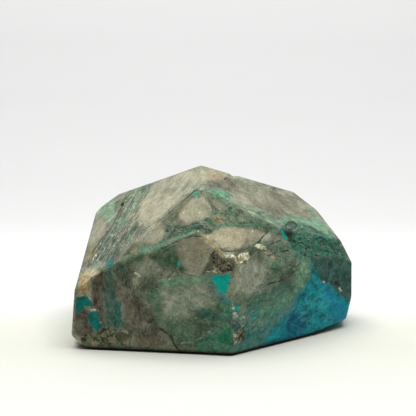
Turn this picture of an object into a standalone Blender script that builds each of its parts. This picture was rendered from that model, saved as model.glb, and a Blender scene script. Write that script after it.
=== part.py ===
"""A hand-polished freeform of shattuckite in quartz, one solid stone.

A sawn block of rock is ground flat one face after another, its edges are eased,
and the places where the rock broke away or lay open are sunk into the faces.

Metres, +Z up. The stone stands on z = 0 with its bounding box centred on the Z axis.
"""

import math
from collections import namedtuple

import bmesh
import bpy
from mathutils import Matrix, Vector, noise

MM = 0.001

# ---- driving dimensions ----
BLOCK_WIDTH = 100 * MM
BLOCK_DEPTH = 90 * MM
BLOCK_HEIGHT = 70 * MM
HEART = Vector((0, 0, 20 * MM))  # every face is ground to a distance from this point
EDGE_EASE = 0.55 * MM  # width of the rounding that polishing leaves on each edge
EDGE_STEPS = 2
SHARPEST_UNEASED = math.radians(6)  # faces that meet flatter than this keep their edge
WELD = 0.1 * MM  # corners closer than this are one corner
ON_PLANE = 0.0001 * MM
LUMP_PITCH = 2.3  # how many lumps there are across a hollow's half-width
LUMP_DETAIL = 3  # subdivisions of the ball that a hollow is shaped from

# heading: 0 looks to the front (-Y), +90 to the right (+X), -90 to the left, 180 to the back
# rise: how far the face looks up; below zero it looks down
# reach: distance of the face from the heart
Facet = namedtuple("Facet", "name heading rise reach")
FACETS = (
    Facet("front left wall", -7.5, 6.0, 25.8 * MM),
    Facet("front right wall", 35.0, 5.0, 24.2 * MM),
    Facet("left end", -92.0, 4.5, 36.9 * MM),
    Facet("right end", 95.0, 0.0, 38.8 * MM),
    Facet("right end undercut", 85.0, -13.5, 40.9 * MM),
    Facet("right shoulder", 100.0, 29.5, 32.5 * MM),
    Facet("left roof", -63.0, 51.5, 24.3 * MM),
    Facet("crown, left of the ridge", -23.0, 38.5, 26.4 * MM),
    Facet("crown, right of the ridge", 22.0, 36.5, 24.05 * MM),
    Facet("right roof", 61.0, 58.5, 22.0 * MM),
    Facet("back roof, left", -161.0, 64.0, 23.7 * MM),
    Facet("back roof, right", 170.0, 61.0, 21.8 * MM),
    Facet("back wall, left", -168.0, 12.0, 22.5 * MM),
    Facet("back wall, right", 146.0, 9.0, 24.5 * MM),
    Facet("back left corner", -128.0, 16.0, 37.2 * MM),
    Facet("right foot, lifted", 75.0, -78.0, 25.0 * MM),
    Facet("left foot, worn", -78.0, -44.0, 42.2 * MM),
)

# centre and half axes are in millimetres; half axes go along the face, into it, and up
# turn: heading, in degrees, of the face that the hollow is sunk into
Hollow = namedtuple("Hollow", "name centre half_axes turn roughness")
HOLLOWS = (
    Hollow("vug beside the front edge", (1.6, -26.4, 23.6), (3.0, 1.7, 1.9), -8, 0.35),
    Hollow("cleft above the vug", (-0.2, -25.8, 26.0), (1.0, 1.3, 2.0), -8, 0.30),
    Hollow("crystal pocket", (7.7, -24.1, 25.3), (2.1, 1.1, 1.5), 35, 0.35),
    Hollow("small crystal pocket", (12.7, -20.3, 26.9), (2.0, 0.8, 1.0), 35, 0.35),
    Hollow("pocket at the foot of the edge", (6.4, -26.9, 5.6), (1.6, 1.0, 2.9), 35, 0.35),
    Hollow("chip in the top edge", (5.8, 1.9, 44.5), (2.3, 3.2, 1.9), 27, 0.10),
    Hollow("pit in the left roof", (-27.9, 5.9, 34.1), (0.8, 1.1, 0.9), -63, 0.20),
)

STONE_COLOUR = (0.23, 0.27, 0.23, 1.0)
STONE_ROUGHNESS = 0.22


def clear_scene():
    for old in list(bpy.data.objects):
        bpy.data.objects.remove(old, do_unlink=True)


def new_collection(name):
    collection = bpy.data.collections.new(name)
    bpy.context.scene.collection.children.link(collection)
    return collection


def object_from(bm, name, collection):
    """Turn a bmesh into an object in the collection, and free the bmesh."""
    mesh = bpy.data.meshes.new(name)
    bm.to_mesh(mesh)
    bm.free()
    made = bpy.data.objects.new(name, mesh)
    collection.objects.link(made)
    return made


def facing(heading, rise):
    """The direction that a face with this heading and rise looks in."""
    turn = math.radians(heading)
    lift = math.radians(rise)
    return Vector((math.sin(turn) * math.cos(lift), -math.cos(turn) * math.cos(lift), math.sin(lift)))


def grind(bm, point, normal):
    """Take away all that stands outside the plane, and close the stone with one flat face."""
    everything = bm.verts[:] + bm.edges[:] + bm.faces[:]
    cut = bmesh.ops.bisect_plane(
        bm, geom=everything, dist=ON_PLANE, plane_co=point, plane_no=normal, clear_outer=True
    )
    rim = [part for part in cut["geom_cut"] if isinstance(part, bmesh.types.BMEdge)]
    if rim:
        bmesh.ops.edgeloop_fill(bm, edges=rim)


def make_stone(collection, material):
    """Saw a block that stands on z = 0 and grind every facet on it."""
    bm = bmesh.new()
    block = Matrix.Diagonal((BLOCK_WIDTH, BLOCK_DEPTH, BLOCK_HEIGHT, 1))
    bmesh.ops.create_cube(bm, size=1, matrix=Matrix.Translation((0, 0, BLOCK_HEIGHT / 2)) @ block)
    for facet in FACETS:
        normal = facing(facet.heading, facet.rise)
        grind(bm, HEART + normal * facet.reach, normal)
    bmesh.ops.remove_doubles(bm, verts=bm.verts, dist=WELD)
    bmesh.ops.recalc_face_normals(bm, faces=bm.faces)
    stone = object_from(bm, "stone", collection)
    stone.data.materials.append(material)
    ease = stone.modifiers.new("eased edges", "BEVEL")
    ease.width = EDGE_EASE
    ease.segments = EDGE_STEPS
    ease.limit_method = "ANGLE"
    ease.angle_limit = SHARPEST_UNEASED
    return stone


def make_cutter(hollow, collection):
    """A lumpy ball, flattened and turned to lie along the face that it sinks into."""
    bm = bmesh.new()
    bmesh.ops.create_icosphere(bm, subdivisions=LUMP_DETAIL, radius=1)
    for vert in bm.verts:
        vert.co *= 1 + hollow.roughness * noise.noise(vert.co * LUMP_PITCH + Vector(hollow.centre))
    size = Matrix.Diagonal((*(half * MM for half in hollow.half_axes), 1))
    turned = Matrix.Rotation(math.radians(hollow.turn), 4, "Z")
    place = Matrix.Translation(Vector(hollow.centre) * MM)
    bmesh.ops.transform(bm, matrix=place @ turned @ size, verts=bm.verts)
    cutter = object_from(bm, "cutter for the " + hollow.name, collection)
    cutter.hide_render = True
    cutter.display_type = "WIRE"
    return cutter


def sink(stone, cutter):
    cut = stone.modifiers.new(cutter.name, "BOOLEAN")
    cut.operation = "DIFFERENCE"
    cut.solver = "EXACT"
    cut.object = cutter


def stone_material():
    material = bpy.data.materials.new("polished stone")
    material.use_nodes = True
    shader = material.node_tree.nodes["Principled BSDF"]
    shader.inputs["Base Color"].default_value = STONE_COLOUR
    shader.inputs["Roughness"].default_value = STONE_ROUGHNESS
    shader.inputs["Metallic"].default_value = 0.0
    return material


def main():
    clear_scene()
    parts = new_collection("shattuckite specimen")
    cutters = new_collection("cutters")
    stone = make_stone(parts, stone_material())
    for hollow in HOLLOWS:
        sink(stone, make_cutter(hollow, cutters))


main()
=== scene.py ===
# %% [markdown]
# # A polished shattuckite specimen
#
# The object is one stone, ground to flat faces on a lap and polished by hand. Its solid is already
# made, with every face, edge and hollow in place. This lesson gives that solid a fine skin, opens its
# cracks and pockets a little, and then lays its minerals one over another, the way they grew.
#
# A stone like this has no paint, no parts and no seams: everything that is seen is a mineral, cut
# through by the lap. So nearly all the work is in one mesh and one material.

# %% Load the frame
import math
from collections import namedtuple

import bmesh
import bpy
import numpy as np
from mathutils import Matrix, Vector, noise
from mathutils.bvhtree import BVHTree


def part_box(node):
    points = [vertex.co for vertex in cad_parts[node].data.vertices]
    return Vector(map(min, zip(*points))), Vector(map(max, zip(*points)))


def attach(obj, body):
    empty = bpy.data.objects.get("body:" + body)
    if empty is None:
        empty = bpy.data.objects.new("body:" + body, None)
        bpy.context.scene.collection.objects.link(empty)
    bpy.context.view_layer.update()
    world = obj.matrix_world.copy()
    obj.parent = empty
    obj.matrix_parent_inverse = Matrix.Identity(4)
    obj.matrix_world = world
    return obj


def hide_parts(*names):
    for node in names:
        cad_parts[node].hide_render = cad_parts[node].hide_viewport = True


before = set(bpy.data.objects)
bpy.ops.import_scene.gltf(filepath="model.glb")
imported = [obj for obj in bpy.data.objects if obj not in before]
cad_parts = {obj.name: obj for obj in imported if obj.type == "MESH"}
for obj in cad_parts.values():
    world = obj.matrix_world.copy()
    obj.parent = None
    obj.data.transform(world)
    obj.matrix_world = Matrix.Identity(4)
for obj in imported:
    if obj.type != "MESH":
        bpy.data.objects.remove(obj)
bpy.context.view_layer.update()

MM = 0.001
low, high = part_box("stone")
print("stone, in mm:", [round(size / MM, 1) for size in high - low])

# %% [markdown]
# ## Where the stone is looked at from
#
# A small stone is shown with a long lens from a little above, so that its top faces show and its
# upright edges stay upright. The camera could be placed by eye, but this one stands on a line that
# rises 12 degrees from a point inside the stone. The same numbers serve again below, where the
# minerals are laid out as they are seen from here.

# %% The camera
SIGHT_AIM = Vector((-2.2, 14.0, 31.05)) * MM
SIGHT_DISTANCE = 295 * MM
SIGHT_RISE = math.radians(12)
SIGHT_ALONG = Vector((0, math.cos(SIGHT_RISE), -math.sin(SIGHT_RISE)))
SIGHT_UP = Vector((0, math.sin(SIGHT_RISE), math.cos(SIGHT_RISE)))
EYE = SIGHT_AIM - SIGHT_ALONG * SIGHT_DISTANCE
LENS = 85.0
SENSOR = 36.0
LENS_NEAR = 10 * MM


def add_to_scene(name, data):
    """An object for the data, in the scene."""
    made = bpy.data.objects.new(name, data)
    bpy.context.scene.collection.objects.link(made)
    return made


def make_camera():
    """A long lens at the eye, looking down by the rise."""
    data = bpy.data.cameras.new("camera")
    data.lens = LENS
    data.sensor_width = SENSOR
    data.clip_start = LENS_NEAR
    camera = add_to_scene("camera", data)
    camera.location = EYE
    camera.rotation_euler = (math.pi / 2 - SIGHT_RISE, 0, 0)
    bpy.context.scene.camera = camera
    return camera


camera = make_camera()
bpy.context.scene.view_settings.view_transform = "Standard"
print("eye, in mm:", [round(c / MM, 1) for c in camera.location])

# %% [markdown]
# ## White paper
#
# The paper has one plain finish, but its tones carry painted light and shade: it is a little warm
# near the stone and darker in a band across the table where the stone stands, as painted shadow,
# bright where it starts to bend, as painted light, and greyer where it stands up. More lamps could
# do that and would also change the stone, so a ramp of tones along the sheet does it. Distance along
# the sheet is y on the table and z on the wall, and y plus z serves for both.

# %% The paper
PAPER_LENGTH = 400 * MM
PAPER_ROUGH = 0.9
PAPER_GLOSS = 0.1
# Painted light and shade: the tones darken in a band where the stone stands and brighten at the bend.
PAPER_LIGHT_AND_TONES = [
    (-57, (0.683, 0.689, 0.658)), (-33, (0.650, 0.658, 0.593)), (-20, (0.624, 0.627, 0.560)),
    (-5, (0.638, 0.644, 0.575)), (10, (0.669, 0.670, 0.635)), (25, (0.684, 0.684, 0.671)),
    (85, (0.705, 0.705, 0.700)), (108, (0.631, 0.631, 0.628)), (122, (0.613, 0.613, 0.610)),
    (157, (0.600, 0.600, 0.598)), (235, (0.617, 0.617, 0.617)), (278, (0.654, 0.654, 0.654)),
    (310, (0.723, 0.723, 0.723)),
]


def set_stops(ramp, stops):
    """Gives a colour ramp its colours, from its lowest place to its highest."""
    while len(ramp.elements) > 1:
        ramp.elements.remove(ramp.elements[-1])
    ramp.elements[0].position = stops[0][0]
    for place, colour in stops:
        stop = ramp.elements[0] if place == stops[0][0] else ramp.elements.new(place)
        stop.color = (*colour, 1)


def paper():
    """Matt white paper in painted light and shade: warm, darker by the stone, bright at the bend,
    neutral behind.
    """
    material = bpy.data.materials.new("white paper")
    material.use_nodes = True
    tree = material.node_tree
    shader = tree.nodes["Principled BSDF"]
    shader.inputs["Roughness"].default_value = PAPER_ROUGH
    shader.inputs["Specular IOR Level"].default_value = PAPER_GLOSS
    place = tree.nodes.new("ShaderNodeTexCoord")
    parts = tree.nodes.new("ShaderNodeSeparateXYZ")
    along = tree.nodes.new("ShaderNodeMath")
    share = tree.nodes.new("ShaderNodeMapRange")
    tones = tree.nodes.new("ShaderNodeValToRGB")
    start = PAPER_LIGHT_AND_TONES[0][0]
    share.inputs["From Min"].default_value = start * MM
    share.inputs["From Max"].default_value = start * MM + PAPER_LENGTH
    stops = [((reach - start) * MM / PAPER_LENGTH, tone) for reach, tone in PAPER_LIGHT_AND_TONES]
    set_stops(tones.color_ramp, stops)
    tree.links.new(place.outputs["Object"], parts.inputs[0])
    tree.links.new(parts.outputs["Y"], along.inputs[0])
    tree.links.new(parts.outputs["Z"], along.inputs[1])
    tree.links.new(along.outputs[0], share.inputs["Value"])
    tree.links.new(share.outputs[0], tones.inputs[0])
    tree.links.new(tones.outputs[0], shader.inputs["Base Color"])
    return material


white_paper = paper()
print(white_paper.name, "with", len(PAPER_LIGHT_AND_TONES), "tones")

# %% [markdown]
# ## A sweep of that paper
#
# Small stones are often shown on a sheet of paper that lies on the table and curves up behind, so
# that no horizon shows. Two flat planes would leave a line where they meet. An edge that is drawn
# out over the table, spun up through a quarter turn and drawn on upwards makes the whole sheet in
# three steps.

# %% The sweep
SWEEP_WIDTH = 2400 * MM
SWEEP_NEAR = -900 * MM
SWEEP_BEND = 78 * MM
SWEEP_RADIUS = 150 * MM
SWEEP_HEIGHT = 1100 * MM
BEND_STEPS = 24


def of_kind(geometry, kind):
    """The verts, edges or faces among what an operator returns."""
    return [item for item in geometry if isinstance(item, kind)]


def object_from(bm, name, material):
    """A smooth object from a bmesh, with its material."""
    mesh = bpy.data.meshes.new(name)
    bm.to_mesh(mesh)
    bm.free()
    mesh.materials.append(material)
    mesh.shade_smooth()
    return add_to_scene(name, mesh)


def draw_out(bm, edges, move):
    """Extrudes edges by a move and returns the new outer edges."""
    grown = bmesh.ops.extrude_edge_only(bm, edges=edges)["geom"]
    moved = of_kind(grown, bmesh.types.BMVert)
    bmesh.ops.translate(bm, verts=moved, vec=move)
    return [e for e in of_kind(grown, bmesh.types.BMEdge) if all(v in moved for v in e.verts)]


def make_sweep():
    """The sheet of paper, from in front of the stone to well above it."""
    bm = bmesh.new()
    ends = [bm.verts.new((side * SWEEP_WIDTH / 2, SWEEP_NEAR, 0)) for side in (-1, 1)]
    edges = draw_out(bm, [bm.edges.new(ends)], (0, SWEEP_BEND - SWEEP_NEAR, 0))
    verts = [v for e in edges for v in e.verts]
    spun = bmesh.ops.spin(
        bm, geom=edges + list(set(verts)), cent=(0, SWEEP_BEND, SWEEP_RADIUS), axis=(1, 0, 0),
        dvec=(0, 0, 0), angle=math.pi / 2, steps=BEND_STEPS, use_merge=False,
    )["geom_last"]
    draw_out(bm, of_kind(spun, bmesh.types.BMEdge), (0, 0, SWEEP_HEIGHT))
    bmesh.ops.recalc_face_normals(bm, faces=bm.faces)
    return object_from(bm, "paper_sweep", white_paper)


sweep = make_sweep()
print("sweep bends at", SWEEP_BEND / MM, "mm behind the middle")

# %% [markdown]
# ## Light
#
# The light comes from one big soft source overhead, as from a window in a roof or a light tent. The
# paper sends it back up, so the walls of the stone are lit about half as strongly as its crown. The
# room in front is darker, which keeps the walls' colours deep. A second lamp from the front would
# be easy, and would wash out the walls and the small shadow under the stone.

# %% Lamps
LAMP_HEIGHT = 620 * MM
LAMP_BACK = 110 * MM
OVERHEAD_SIZE = (760 * MM, 560 * MM)
OVERHEAD_POWER = 8.8
ROOM_LIGHT = 0.06


def soft_lamp(name, place, aim, size, power):
    """A rectangular area light that shines from a place towards an aim."""
    data = bpy.data.lights.new(name, "AREA")
    data.shape = "RECTANGLE"
    data.size, data.size_y = size
    data.energy = power
    lamp = add_to_scene(name, data)
    lamp.location = place
    lamp.rotation_euler = (Vector(aim) - Vector(place)).to_track_quat("-Z", "Y").to_euler()
    return lamp


def room_light(strength):
    """The even, weak light of the room."""
    world = bpy.data.worlds.new("room")
    world.use_nodes = True
    background = world.node_tree.nodes["Background"]
    background.inputs["Color"].default_value = (1, 1, 1, 1)
    background.inputs["Strength"].default_value = strength
    bpy.context.scene.world = world


above = (0, LAMP_BACK, LAMP_HEIGHT)
overhead = soft_lamp("overhead", above, (0, LAMP_BACK, 0), OVERHEAD_SIZE, OVERHEAD_POWER)
room_light(ROOM_LIGHT)
print("lamps:", overhead.name, OVERHEAD_POWER, "W; room", ROOM_LIGHT)

# %% [markdown]
# ## A skin that is fine enough to carry the minerals
#
# The solid has large flat faces, and a mesh can only hold a value at its vertices. Subdividing such
# long triangles would leave slivers. Slicing the merged solid with evenly spaced planes in all
# three directions, as a wire cuts cheese, keeps every face flat and its edges exactly where
# they are, and leaves small, even cells. The side that is seen first is sliced twice as finely.

# %% Slice the skin
PITCH = 0.76 * MM
FIRST_CUTS = 0.5
BETWEEN_CUTS = 1.0
FACE_LIMIT = math.radians(0.5)
SAME_PLACE = 0.001 * MM
ON_PLANE = 0.0001 * MM


def merged_copy(node):
    """A bmesh of a CAD node with its loose triangles joined into flat faces."""
    bm = bmesh.new()
    bm.from_mesh(node.data)
    bmesh.ops.remove_doubles(bm, verts=bm.verts, dist=SAME_PLACE)
    bmesh.ops.dissolve_limit(bm, angle_limit=FACE_LIMIT, verts=bm.verts, edges=bm.edges)
    return bm


def in_sight(face):
    """Whether a face is turned towards the eye."""
    return face.normal.dot(EYE - face.calc_center_median()) > 0


def slice_skin(bm, faces, pitch, shift):
    """Cuts faces with planes a pitch apart in x, y and z, the first of them a shift into the box."""
    cut = faces + list({e for f in faces for e in f.edges})
    cut += list({v for f in faces for v in f.verts})
    for axis in range(3):
        across = Vector((0, 0, 0))
        across[axis] = 1
        place = low[axis] + pitch * shift
        while place < high[axis]:
            cut = bmesh.ops.bisect_plane(
                bm, geom=cut, dist=ON_PLANE, plane_co=across * place, plane_no=across,
            )["geom"]
            place += pitch


skin = merged_copy(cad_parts["stone"])
hull = BVHTree.FromBMesh(skin)
print("merged solid:", len(skin.verts), "vertices,", len(skin.faces), "faces")
slice_skin(skin, skin.faces[:], PITCH, FIRST_CUTS)
slice_skin(skin, [f for f in skin.faces if in_sight(f)], PITCH, BETWEEN_CUTS)
print("skin:", len(skin.verts), "vertices,", len(skin.faces), "faces")

# %% [markdown]
# ## The sight map
#
# The minerals are laid out as they are seen from the eye, on a square map 416 units wide. One unit is
# about 0.3 mm on the stone. This is the idea of Blender's Project From View, done for every vertex of
# the skin, so that a vein drawn once runs over the ridges as a real one does.

# %% Lay the map on the skin
MAP_WIDTH = 416
MAP_MIDDLE = MAP_WIDTH / 2
UNITS_PER_SLOPE = MAP_WIDTH * LENS / SENSOR

places = np.array([v.co for v in skin.verts])


def on_map(points):
    """Map units of points in space, seen from the eye."""
    from_eye = points - np.array(EYE)
    ahead = from_eye @ np.array(SIGHT_ALONG)
    across = MAP_MIDDLE + UNITS_PER_SLOPE * from_eye[:, 0] / ahead
    down = MAP_MIDDLE - UNITS_PER_SLOPE * (from_eye @ np.array(SIGHT_UP)) / ahead
    return np.column_stack((across, down))


spot_on_map = on_map(places)
print("on the map, from", spot_on_map.min(0).round(), "to", spot_on_map.max(0).round())

# %% [markdown]
# ## Behind the surface that is seen
#
# On the far side the map would only show the same drawing through the stone. A vein that runs into
# the depth wanders, thickens and thins, so the map does too: the deeper a point lies behind the
# seen surface, the further its place on the map drifts towards the middle and wanders about. A
# second, much finer tremble goes over the whole stone, so that no rim is ruled straight.
#
# Each depth is the length of a ray that goes on from the first surface it meets. The front gets no
# depth, because a little slack is taken off. Blender's vector noise starts from an offset that
# changes from one run to the next, so it is given a seed, and the stone always comes out the same.

# %% Drift with the depth
STONE_MIDDLE = np.array((212.0, 262.0))
GATHER = 0.010
WANDER_SLOPE = 2.2
WANDER_LIMIT = 34.0
WANDER_SIZE = 13 * MM
WANDER_SEED = 3
TREMBLE = 0.9
TREMBLE_SIZE = 2.0 * MM
TREMBLE_SEED = 7
SURFACE_SLACK = 0.4
VECTOR_NOISE_SEED = 5

noise.seed_set(VECTOR_NOISE_SEED)


def depth_behind_surface(points):
    """How far each point lies behind the first surface that the eye meets, in mm."""
    depths = []
    for point in points:
        sight = Vector(point) - EYE
        hit = hull.ray_cast(EYE, sight)[0]
        depths.append(0.0 if hit is None else sight.length - (hit - EYE).length)
    return np.maximum(np.array(depths) / MM - SURFACE_SLACK, 0)


def drift(points, size, seed):
    """Two smooth random values for each point, between about -1 and 1."""
    offset = Vector((seed, 0, 0))
    return np.array([noise.noise_vector(Vector(p) / size + offset)[:2] for p in points])


depth = depth_behind_surface(places)
spot_on_map = STONE_MIDDLE + (spot_on_map - STONE_MIDDLE) * (1 - GATHER * depth)[:, None]
wander = np.minimum(depth * WANDER_SLOPE, WANDER_LIMIT)[:, None]
spot_on_map += drift(places, WANDER_SIZE, WANDER_SEED) * wander
spot_on_map += drift(places, TREMBLE_SIZE, TREMBLE_SEED) * TREMBLE
print("deepest point behind the surface:", round(depth.max(), 1), "mm")

# %% [markdown]
# ## Marks on the map
#
# Every mineral is a set of marks: areas with an outline, lines along a route, and round spots. A mark
# doesn't hold a colour. It holds how surely its mineral is there, from 0 to 1, and how many units
# that takes to fade out at its rim. Each mineral becomes one attribute on the skin, and its colour,
# grain and gloss are made by the material.
#
# Drawing on an image would be quicker, but it would fix the sharpness of every rim. Distances stay
# sharp at any size, and the material can still fray them. The next cells lay the marks mineral by
# mineral, and every mark says where on the stone it is.

# %% Areas, lines and spots
Mark = namedtuple("Mark", "mineral name kind points width soft sure")
marks = []


def area(mineral, name, soft, sure, *outline):
    """A mineral inside an outline."""
    marks.append(Mark(mineral, name, "area", outline, 0, soft, sure))


def line(mineral, name, width, soft, sure, *route):
    """A mineral along a route."""
    marks.append(Mark(mineral, name, "line", route, width, soft, sure))


def spots(mineral, name, width, soft, sure, *centres):
    """A mineral in round spots of one size."""
    marks.append(Mark(mineral, name, "spots", centres, width, soft, sure))


def tell(*minerals):
    """Prints how many marks each of these minerals has."""
    for mineral in minerals:
        print(mineral, "has", sum(mark.mineral == mineral for mark in marks), "marks")


print("a mark has", ", ".join(Mark._fields))

# %% [markdown]
# ## Milky quartz
#
# Most of the stone is quartz. Where it is full of tiny bubbles it is milky, and warm white on the
# roofs, where it is thickest. Milky quartz is a veil: it fades over many units and lets the grain
# beneath it show, so its marks are soft and few of them are sure. The panes on the crown are the
# exception. They are fragments between cracks, so their marks are surer and fade out faster. The
# mark on the rounded lower left corner is a painted highlight in the milk's colour.

# %% Milky and pale quartz
area("milk", "left roof, top", 7, 0.55, (154, 183), (170, 175), (190, 170), (196, 176), (184, 186),
     (168, 190), (150, 196), (150, 188))
area("milk", "left roof, heart", 7, 0.78, (146, 197), (166, 192), (186, 190), (176, 203),
     (162, 216), (150, 227), (140, 226), (138, 213), (141, 202))
area("milk", "left end strip", 5, 0.4, (96, 216), (106, 223), (104, 234), (97, 244), (90, 246),
     (92, 230))
area("milk", "crown, left pane", 4, 0.95, (192, 199), (201, 197), (207, 202), (211, 209),
     (212, 214), (203, 220), (194, 221), (188, 224), (181, 219), (179, 214), (185, 205))
area("milk", "crown, low left pane", 5, 0.6, (161, 222), (165, 226), (164, 235), (157, 242),
     (148, 244), (136, 243), (132, 239), (141, 235), (148, 229))
area("milk", "warm pane above the hollow", 3, 1.0, (204, 236), (212, 232), (219, 229), (231, 227),
     (245, 229), (248, 235), (245, 241), (240, 248), (231, 249), (222, 245), (214, 240))
area("milk", "pane beside the warm one", 4, 0.5, (249, 230), (262, 231), (264, 236), (258, 242),
     (249, 245), (247, 238))
area("milk", "pane under the roof vein", 4, 0.75, (264, 234), (277, 238), (280, 241), (268, 244),
     (260, 243))
area("milk", "grey pane right of the roof vein", 5, 0.4, (231, 193), (240, 193), (252, 203),
     (246, 207), (236, 203))
area("milk", "apex of the roofs", 8, 0.6, (184, 174), (200, 166), (228, 172), (226, 178),
     (206, 182), (190, 186))
area("milk", "upper right roof", 10, 0.18, (240, 181), (262, 187), (274, 192), (274, 206),
     (258, 206), (244, 196))
area("milk", "right roof, outer part", 8, 0.15, (280, 192), (303, 197), (316, 213), (322, 223),
     (300, 216), (289, 213), (281, 203))
area("milk", "pane below the roof vein", 4, 0.4, (212, 199), (222, 203), (228, 209), (220, 213),
     (214, 210))
area("milk", "pane in the roof fold", 4, 0.6, (237, 212), (247, 216), (250, 222), (240, 221))
# Painted highlight: the next mark lights the rounded lower left corner.
area("milk", "highlight on the lower left corner", 3, 0.8, (74, 335), (79, 336), (84, 345), (80, 346),
     (74, 342))
area("milk", "smoky window by the hollow", 8, 0.6, (176, 250), (184, 240), (201, 237), (213, 250),
     (208, 262), (203, 273), (190, 273), (184, 264))
area("pale quartz", "right wall, upper left", 9, 0.85, (236, 264), (256, 261), (266, 270),
     (262, 286), (248, 296), (236, 290))
area("pale quartz", "left wall, beige heart", 10, 0.58, (160, 287), (184, 284), (204, 283),
     (216, 291), (214, 304), (196, 312), (180, 321), (164, 316))
area("pale quartz", "left wall below its edge", 7, 0.45, (136, 262), (158, 260), (160, 270),
     (148, 274), (138, 274))
area("pale quartz", "beige spot in the left wall", 5, 0.4, (159, 316), (166, 318), (166, 326),
     (160, 326))
area("pale quartz", "upper right wall", 6, 0.75, (260, 236), (274, 232), (290, 243), (298, 256),
     (284, 266), (264, 266))
tell("milk", "pale quartz")

# %% [markdown]
# ## Smoky quartz
#
# Where quartz is clear, the dark depth shows through it as a smoky grey-brown. A clear shader with a
# dark inside could show that, and would be slow and noisy. A soft brown veil looks the same on a
# stone that is only clear for a millimetre or two. One patch, under the ledge at the top, is painted
# shade in a small chip.

# %% Smoky quartz
area("smoke", "apex of the roofs", 7, 0.1, (188, 170), (202, 166), (228, 173), (228, 179),
     (210, 180), (204, 185), (192, 186))
area("smoke", "brown left wall", 6, 1.0, (92, 284), (98, 273), (105, 267), (106, 290), (103, 300),
     (103, 322), (99, 322), (98, 311), (93, 306))
area("smoke", "brown quartz, left wall", 12, 0.7, (114, 282), (128, 280), (140, 300), (154, 316),
     (160, 332), (166, 346), (134, 346), (124, 326), (123, 305), (113, 296))
area("smoke", "brown corner by the teal chips", 4, 0.85, (75, 313), (83, 308), (89, 311), (88, 322),
     (96, 332), (88, 337), (80, 337), (75, 332))
area("smoke", "grey brown right wall", 10, 0.3, (232, 264), (250, 261), (268, 271), (270, 282),
     (262, 288), (250, 300), (236, 298))
area("smoke", "whole right roof", 14, 0.42, (240, 180), (304, 194), (322, 222), (290, 216),
     (264, 214), (238, 200))
area("smoke", "left end strip", 10, 0.3, (96, 214), (108, 224), (100, 248), (84, 268), (84, 256))
area("smoke", "left roof band, low", 10, 0.35, (118, 224), (138, 220), (146, 228), (126, 246),
     (110, 240))
# Painted shade: the next mark darkens the small chip under the ledge.
area("smoke", "roof shadow under the ledge", 5, 0.7, (208, 182), (228, 179), (236, 180), (238, 188),
     (232, 193), (218, 188), (208, 187))
area("smoke", "upright band in the right roof", 5, 0.35, (272, 187), (280, 189), (281, 204),
     (288, 217), (280, 218), (272, 212), (270, 200))
area("smoke", "purple grey pane", 5, 0.95, (280, 276), (292, 270), (297, 272), (294, 282),
     (287, 290), (278, 289))
area("smoke", "under the crown's right edge", 5, 0.2, (262, 228), (276, 229), (284, 236),
     (280, 240), (266, 236))
tell("smoke")

# %% [markdown]
# ## Mossy quartz
#
# Fine chlorite grew in the quartz like moss, and turned large parts of both walls and of the roof
# edges olive. Its patches overlap and none is sure, so that they add up to an uneven green.

# %% Mossy quartz
area("moss", "left wall, right half", 12, 0.7, (150, 284), (168, 300), (190, 310), (214, 304),
     (222, 296), (231, 306), (231, 351), (190, 352), (172, 338), (158, 322), (148, 300))
area("moss", "olive quartz under the edge", 6, 0.75, (150, 258), (162, 249), (172, 245), (178, 248),
     (180, 260), (189, 270), (184, 273), (170, 270), (158, 266))
area("moss", "left wall, by the streak", 8, 0.15, (142, 278), (160, 276), (166, 290), (160, 304),
     (146, 298))
area("moss", "olive under the left edge", 6, 0.6, (122, 258), (134, 252), (146, 252), (144, 262),
     (128, 268))
area("moss", "right wall", 12, 0.4, (262, 289), (276, 284), (290, 290), (296, 292), (284, 304),
     (262, 316), (246, 314), (250, 302))
area("moss", "right wall, upper right", 6, 0.4, (268, 254), (284, 250), (298, 256), (300, 266),
     (292, 270), (282, 276), (272, 274), (266, 264))
area("moss", "green under the small pocket", 4, 0.8, (266, 257), (275, 256), (278, 266), (274, 271),
     (267, 268))
area("moss", "crown above the warm pane", 6, 0.35, (214, 218), (222, 213), (236, 211), (262, 221),
     (276, 229), (262, 230), (250, 225), (226, 224), (218, 228))
area("moss", "roof below the bright vein", 5, 0.2, (206, 191), (222, 200), (236, 208), (226, 207),
     (214, 211), (210, 203))
area("moss", "roof above the bright vein", 5, 0.6, (238, 204), (254, 208), (272, 214), (282, 219),
     (272, 221), (252, 213))
area("moss", "left roof band", 6, 0.45, (128, 190), (151, 182), (146, 192), (140, 200), (136, 210),
     (128, 224), (120, 232), (108, 238), (112, 226), (123, 204))
area("moss", "olive rim of the mint corner", 4, 0.2, (110, 196), (128, 191), (122, 204), (115, 214),
     (115, 202))
area("moss", "foot of the left wall", 6, 0.5, (100, 344), (134, 346), (170, 349), (170, 353),
     (100, 349))
area("moss", "crown left of the pane", 5, 0.4, (166, 218), (180, 207), (186, 200), (182, 214),
     (172, 223))
tell("moss")

# %% [markdown]
# ## Gloom
#
# Under the ridges and along the foot the green goes nearly black, where dense chlorite lies deep in
# clear quartz. Painting these places black would flatten them. The gloom is a dark green veil of
# its own, laid over the quartz veils and under the copper ones, so it deepens what is there.

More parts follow.
